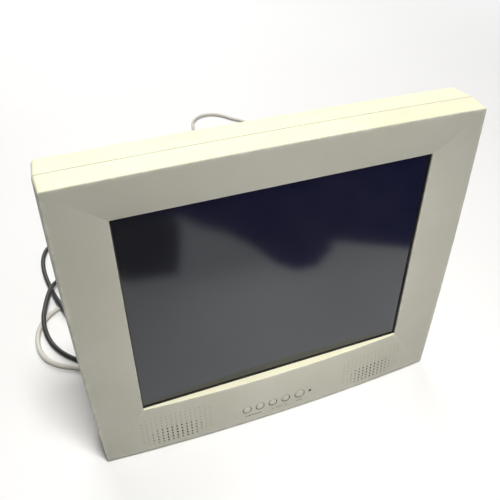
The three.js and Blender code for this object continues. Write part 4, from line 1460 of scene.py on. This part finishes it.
def connectorBody(plan):
    # a moulded body hanging under its socket, with a ribbed taper down to the lead
    top, bottom, leadExit = plan["top"], plan["bottom"], plan["leadExit"]
    halfX, halfY = plan["half"]
    works = [roundedBlock(Vector((-halfX, -halfY, bottom)) * mm, Vector((halfX, halfY, top)) * mm, 2.2, 4)]
    ridge = ((0.0, 0.0), (0.25, 0.55), (0.6, 0.55), (0.85, -0.25))
    profile = [(0, bottom + 3)] + ribbedTaper(ridge, 6.4, -2.2, bottom + 1, leadExit - bottom)
    profile += [(4.1, leadExit + 0.2), (3.55, leadExit), (0, leadExit)]
    works.append(lathe(profile, 36, Vector((0, 0, 0)), "Z"))
    return works


def fingerGrips(grip):
    # ridges across both wide faces of a connector
    works = []
    for side in (-1, 1):
        y = side * grip["face"]
        for i in range(grip["count"]):
            z = grip["first"] + i * grip["pitch"]
            low = Vector((-grip["half"], y - grip["depth"], z)) * mm
            high = Vector((grip["half"], y + grip["depth"], z + grip["width"])) * mm
            works.append(roundedBlock(low, high, grip["round"], 2))
    return works


powerEnds = {
    "connector": {"half": (13, 10.4), "top": 103, "bottom": 78, "leadExit": 52.3},
    "tongue": ((-11.4, -7.6, 100), (11.4, 7.6, 118.8)),
    "grips": {"count": 5, "first": 83, "pitch": 3.2, "face": 10.2, "depth": 0.6, "half": 8, "width": 1.4,
              "round": 0.4},
    "flatFrom": 26, "flatHalf": 10.2,
    "bladeX": 6.4, "bladeZ": 4, "bladeHalf": (0.8, 3.1), "bladeBegin": 48, "bladeEnd": 67.6,
    "pinZ": -6.2,
    "entry": (-134, 179.9, 3.8), "coilExit": (12, 11.4),
}


def makePowerConnector():
    inlet = nodeMiddle("power_inlet")
    low, high = powerEnds["tongue"]
    works = connectorBody(powerEnds["connector"])
    works.append(roundedBlock(Vector(low) * mm, Vector(high) * mm, 1.2, 3))
    works += fingerGrips(powerEnds["grips"])
    mesh = joined(shifted(works, Vector((inlet.x, inlet.y, 0))), "powerConnector")
    return finishPiece("powerConnector", mesh, materials["powerJacket"], "head",
                       ["power_connector"])


def makeMainsPlug(start):
    ridge = ((0.0, 0.0), (0.3, 0.5), (0.65, 0.5), (0.9, -0.2))
    profile = [(0, 0)] + ribbedTaper(ridge, 3.9, 2.2, 0, 18)
    profile += [(6.8, 18.5), (9.6, 21.5), (11.9, 25.5), (12.3, 28), (12.3, 46.5), (11.6, 48.6), (10.0, 49.4),
                (0, 49.4)]
    grip = lathe(profile, 48, start)
    half = powerEnds["flatHalf"] * mm
    for vert in grip.verts:  # flats on two sides for the fingers
        if (vert.co.y - start.y) / mm > powerEnds["flatFrom"]:
            vert.co.x = start.x + max(-half, min(half, vert.co.x - start.x))
    return finishPiece("mainsPlug", meshFrom("mainsPlug", grip), materials["powerJacket"], "head",
                       ["mains_plug"])


def makePlugBlades(start):
    # two flat blades and a round earth pin
    begin, end, z = powerEnds["bladeBegin"], powerEnds["bladeEnd"], powerEnds["bladeZ"]
    halfX, halfZ = powerEnds["bladeHalf"]
    blades = []
    for side in (-1, 1):
        x = side * powerEnds["bladeX"]
        blades.append(roundedBlock(start + Vector((x - halfX, begin, z - halfZ)) * mm,
                                   start + Vector((x + halfX, end, z + halfZ)) * mm, 0.4, 2))
    pin = [(0, begin), (2.3, begin), (2.3, 65.5), (1.6, 67.2), (0, end)]
    blades.append(lathe(pin, 24, start + Vector((0, 0, powerEnds["pinZ"])) * mm))
    return finishPiece("plugBlades", joined(blades, "plugBlades"), materials["brass"], "head")


def makePowerLead():
    connector = makePowerConnector()
    plugLow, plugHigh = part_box("mains_plug")
    middle = (plugLow + plugHigh) / 2
    start = Vector((middle.x, plugLow.y, middle.z))
    plug = makeMainsPlug(start)
    pins = makePlugBlades(start)
    past, height = powerEnds["coilExit"]
    tail = [(coilPlan["x"] + coilPlan["outer"], coilPlan["y"] + past, height),
            (start.x / mm, (start.y - frontPlane) / mm, start.z / mm)]
    route = powerRoute() + [powerEnds["entry"]] + coilTurns() + tail
    lead = leadCurve("powerLead", routePoints(route), materials["powerJacket"])
    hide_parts("power_lead", "power_lead_coil")
    tie = makeTie()
    tuple(spot(*route[0]))


tiePlan = {
    "angle": 200, "halfWide": 8.3, "halfTall": 7.6, "thickness": 0.9, "reach": 5.0, "sides": 32,
    "z": 7.4, "lowest": 0.1,
}


def makeTie():
    # a flat hook-and-loop strap round the bundle, on the side away from the plug
    angle = math.radians(tiePlan["angle"])
    middle = (coilPlan["outer"] + coilPlan["inner"]) / 2
    work = bmesh.new()
    loops = []
    for push in (-tiePlan["reach"], tiePlan["reach"]):
        for grow in (0.0, tiePlan["thickness"]):
            row = []
            for c, s in arc((0, 0), 1.0, 0, 360, tiePlan["sides"])[:-1]:
                radial = middle + math.copysign(abs(c) ** 0.5, c) * (tiePlan["halfWide"] + grow)
                rise = math.copysign(abs(s) ** 0.5, s) * (tiePlan["halfTall"] + grow)
                x = radial * math.cos(angle) - push * math.sin(angle)
                y = radial * math.sin(angle) + push * math.cos(angle)
                z = max(tiePlan["lowest"], tiePlan["z"] + rise)
                row.append(work.verts.new(spot(coilPlan["x"] + x, coilPlan["y"] + y, z)))
            loops.append(row)
    skin(work, [loops[0], loops[1], loops[3], loops[2]], True)
    return finishPiece("leadTie", meshFrom("leadTie", work), materials["rubberPad"], "head")


videoEnds = {
    "connector": {"half": (19, 7.4), "top": 103.1, "bottom": 68, "leadExit": 46.3},
    "grips": {"count": 6, "first": 74, "pitch": 3.4, "face": 7.3, "depth": 0.5, "half": 11, "width": 1.5,
              "round": 0.35},
    "recess": ((-8.9, -4.8, 100.5), (8.9, 4.8, 110)), "knobX": 15.2,
    "hood": ((-19, -56, -7.3), (19, -22, 7.3)),
    "hoodGrips": {"count": 6, "first": -46, "pitch": 3.4, "face": 7.0, "size": (22, 1.5, 0.7), "round": 0.3},
    "shellHalf": 8.3, "shellSteps": ((0, -55.5), (0, -61.8), (0.5, -61.8), (0.5, -57)), "boltX": 15.0,
}


def makeVideoConnector(place):
    works = connectorBody(videoEnds["connector"]) + fingerGrips(videoEnds["grips"])
    low, high = videoEnds["recess"]
    recess = roundedBlock(Vector(low) * mm, Vector(high) * mm, 0.3, 1)
    cutter = meshFrom("recess", shifted([recess], place)[0])
    body = cutAway(joined(shifted(works, place), "hood"), [cutter], "hood")
    return finishPiece("videoConnector", body, materials["videoJacket"], "head",
                       ["video_connector"])


def makeVideoScrews(place):
    knob = [(0, 60.5), (2.6, 60.5), (3.1, 61.1), (3.1, 67.4), (2.6, 68.2), (0, 68.2)]
    knobs = [lathe(knob, 20, place + Vector((side * videoEnds["knobX"], 0, 0)) * mm, "Z") for side in (-1, 1)]
    return finishPiece("videoScrews", joined(knobs, "videoScrews"), materials["videoJacket"], "head")


def makeVideoPlugHood(middle):
    low, high = videoEnds["hood"]
    works = [roundedBlock(middle + Vector(low) * mm, middle + Vector(high) * mm, 2.0, 4)]
    ridge = ((0.0, 0.0), (0.3, 0.5), (0.65, 0.5), (0.9, -0.25))
    profile = [(0, -18)] + ribbedTaper(ridge, 6.2, -2.0, -22.5, 21.5)
    profile += [(4.0, -0.6), (3.55, -0.2), (0, -0.2)]
    works.append(lathe(profile, 36, middle))
    grip = videoEnds["hoodGrips"]
    wide, long, tall = grip["size"]
    for side in (-1, 1):
        for i in range(grip["count"]):
            y = grip["first"] + i * grip["pitch"]
            low = middle + Vector((-wide / 2, y, side * grip["face"] - tall / 2)) * mm
            works.append(roundedBlock(low, low + Vector((wide, long, tall)) * mm, grip["round"], 2))
    return finishPiece("videoPlugHood", joined(works, "videoPlugHood"), materials["videoJacket"], "head",
                       ["video_plug"])


def makeVideoPlugShell(middle):
    def shellPlace(across, tall, along):
        return middle + Vector((across, along, tall)) * mm

    metal = [dShell(videoEnds["shellHalf"], videoEnds["shellSteps"], shellPlace)]
    bolt = [(0, -61), (1.4, -61), (1.5, -60), (1.5, -55.8), (2.6, -55.8), (2.6, -55), (0, -55)]
    for side in (-1, 1):
        metal.append(lathe(bolt, 20, middle + Vector((side * videoEnds["boltX"], 0, 0)) * mm))
    return finishPiece("videoPlugShell", joined(metal, "videoPlugShell"), materials["platedSteel"], "head")


def makeVideoLead():
    socket = nodeMiddle("video_socket")
    place = Vector((socket.x, socket.y, 0))
    connector = makeVideoConnector(place)
    knobs = makeVideoScrews(place)
    low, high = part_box("video_plug")
    middle = Vector(((low.x + high.x) / 2, high.y, (low.z + high.z) / 2))
    hood = makeVideoPlugHood(middle)
    plugShell = makeVideoPlugShell(middle)
    route = videoRoute()
    lead = leadCurve("videoLead", routePoints(route), materials["videoJacket"])
    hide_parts("video_lead")
    tuple(spot(*route[0]))


cadFinishes = {
    "screenCoating": ["display_panel"],
    "frameBlack": ["screen_frame"],
    "whiteFilm": ["diffuser_sheet", "backlight_lamp_top", "backlight_lamp_bottom"],
    "clearSheet": ["light_guide"],
    "platedSteel": ["screen_back_plate", "panel_bracket_left", "panel_bracket_right", "board_chassis",
                    "heat_sink", "shield_cover"],
    "brass": ["mount_insert_1", "mount_insert_2", "mount_insert_3", "mount_insert_4"],
    "circuitBoard": ["main_board", "power_board", "inverter_board", "button_board"],
    "blackPlastic": ["transformer", "power_inlet", "audio_jack", "speaker_left", "speaker_right"],
    "conePaper": ["speaker_cone_left", "speaker_cone_right"],
    "labelPaper": ["rating_label"],
}


def coatFrameNodes():
    for finish, nodes in cadFinishes.items():
        for node in nodes:
            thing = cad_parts[node]
            thing.data.materials.clear()
            thing.data.materials.append(materials[finish])


makeCamera()
makeStage()
print("camera and stage set")
makePowerLead()
makeVideoLead()
print("leads laid")
onFace = makeBezel()
print("bezel made")
makeRearCover()
print("rear cover made")
makeButtons()
makeMarks(onFace)
makeScrews()
makePads()
makeFootShell()
makeBrackets()
makeHingePin()
makeSockets()
coatFrameNodes()
print("controls, hardware and foot made")
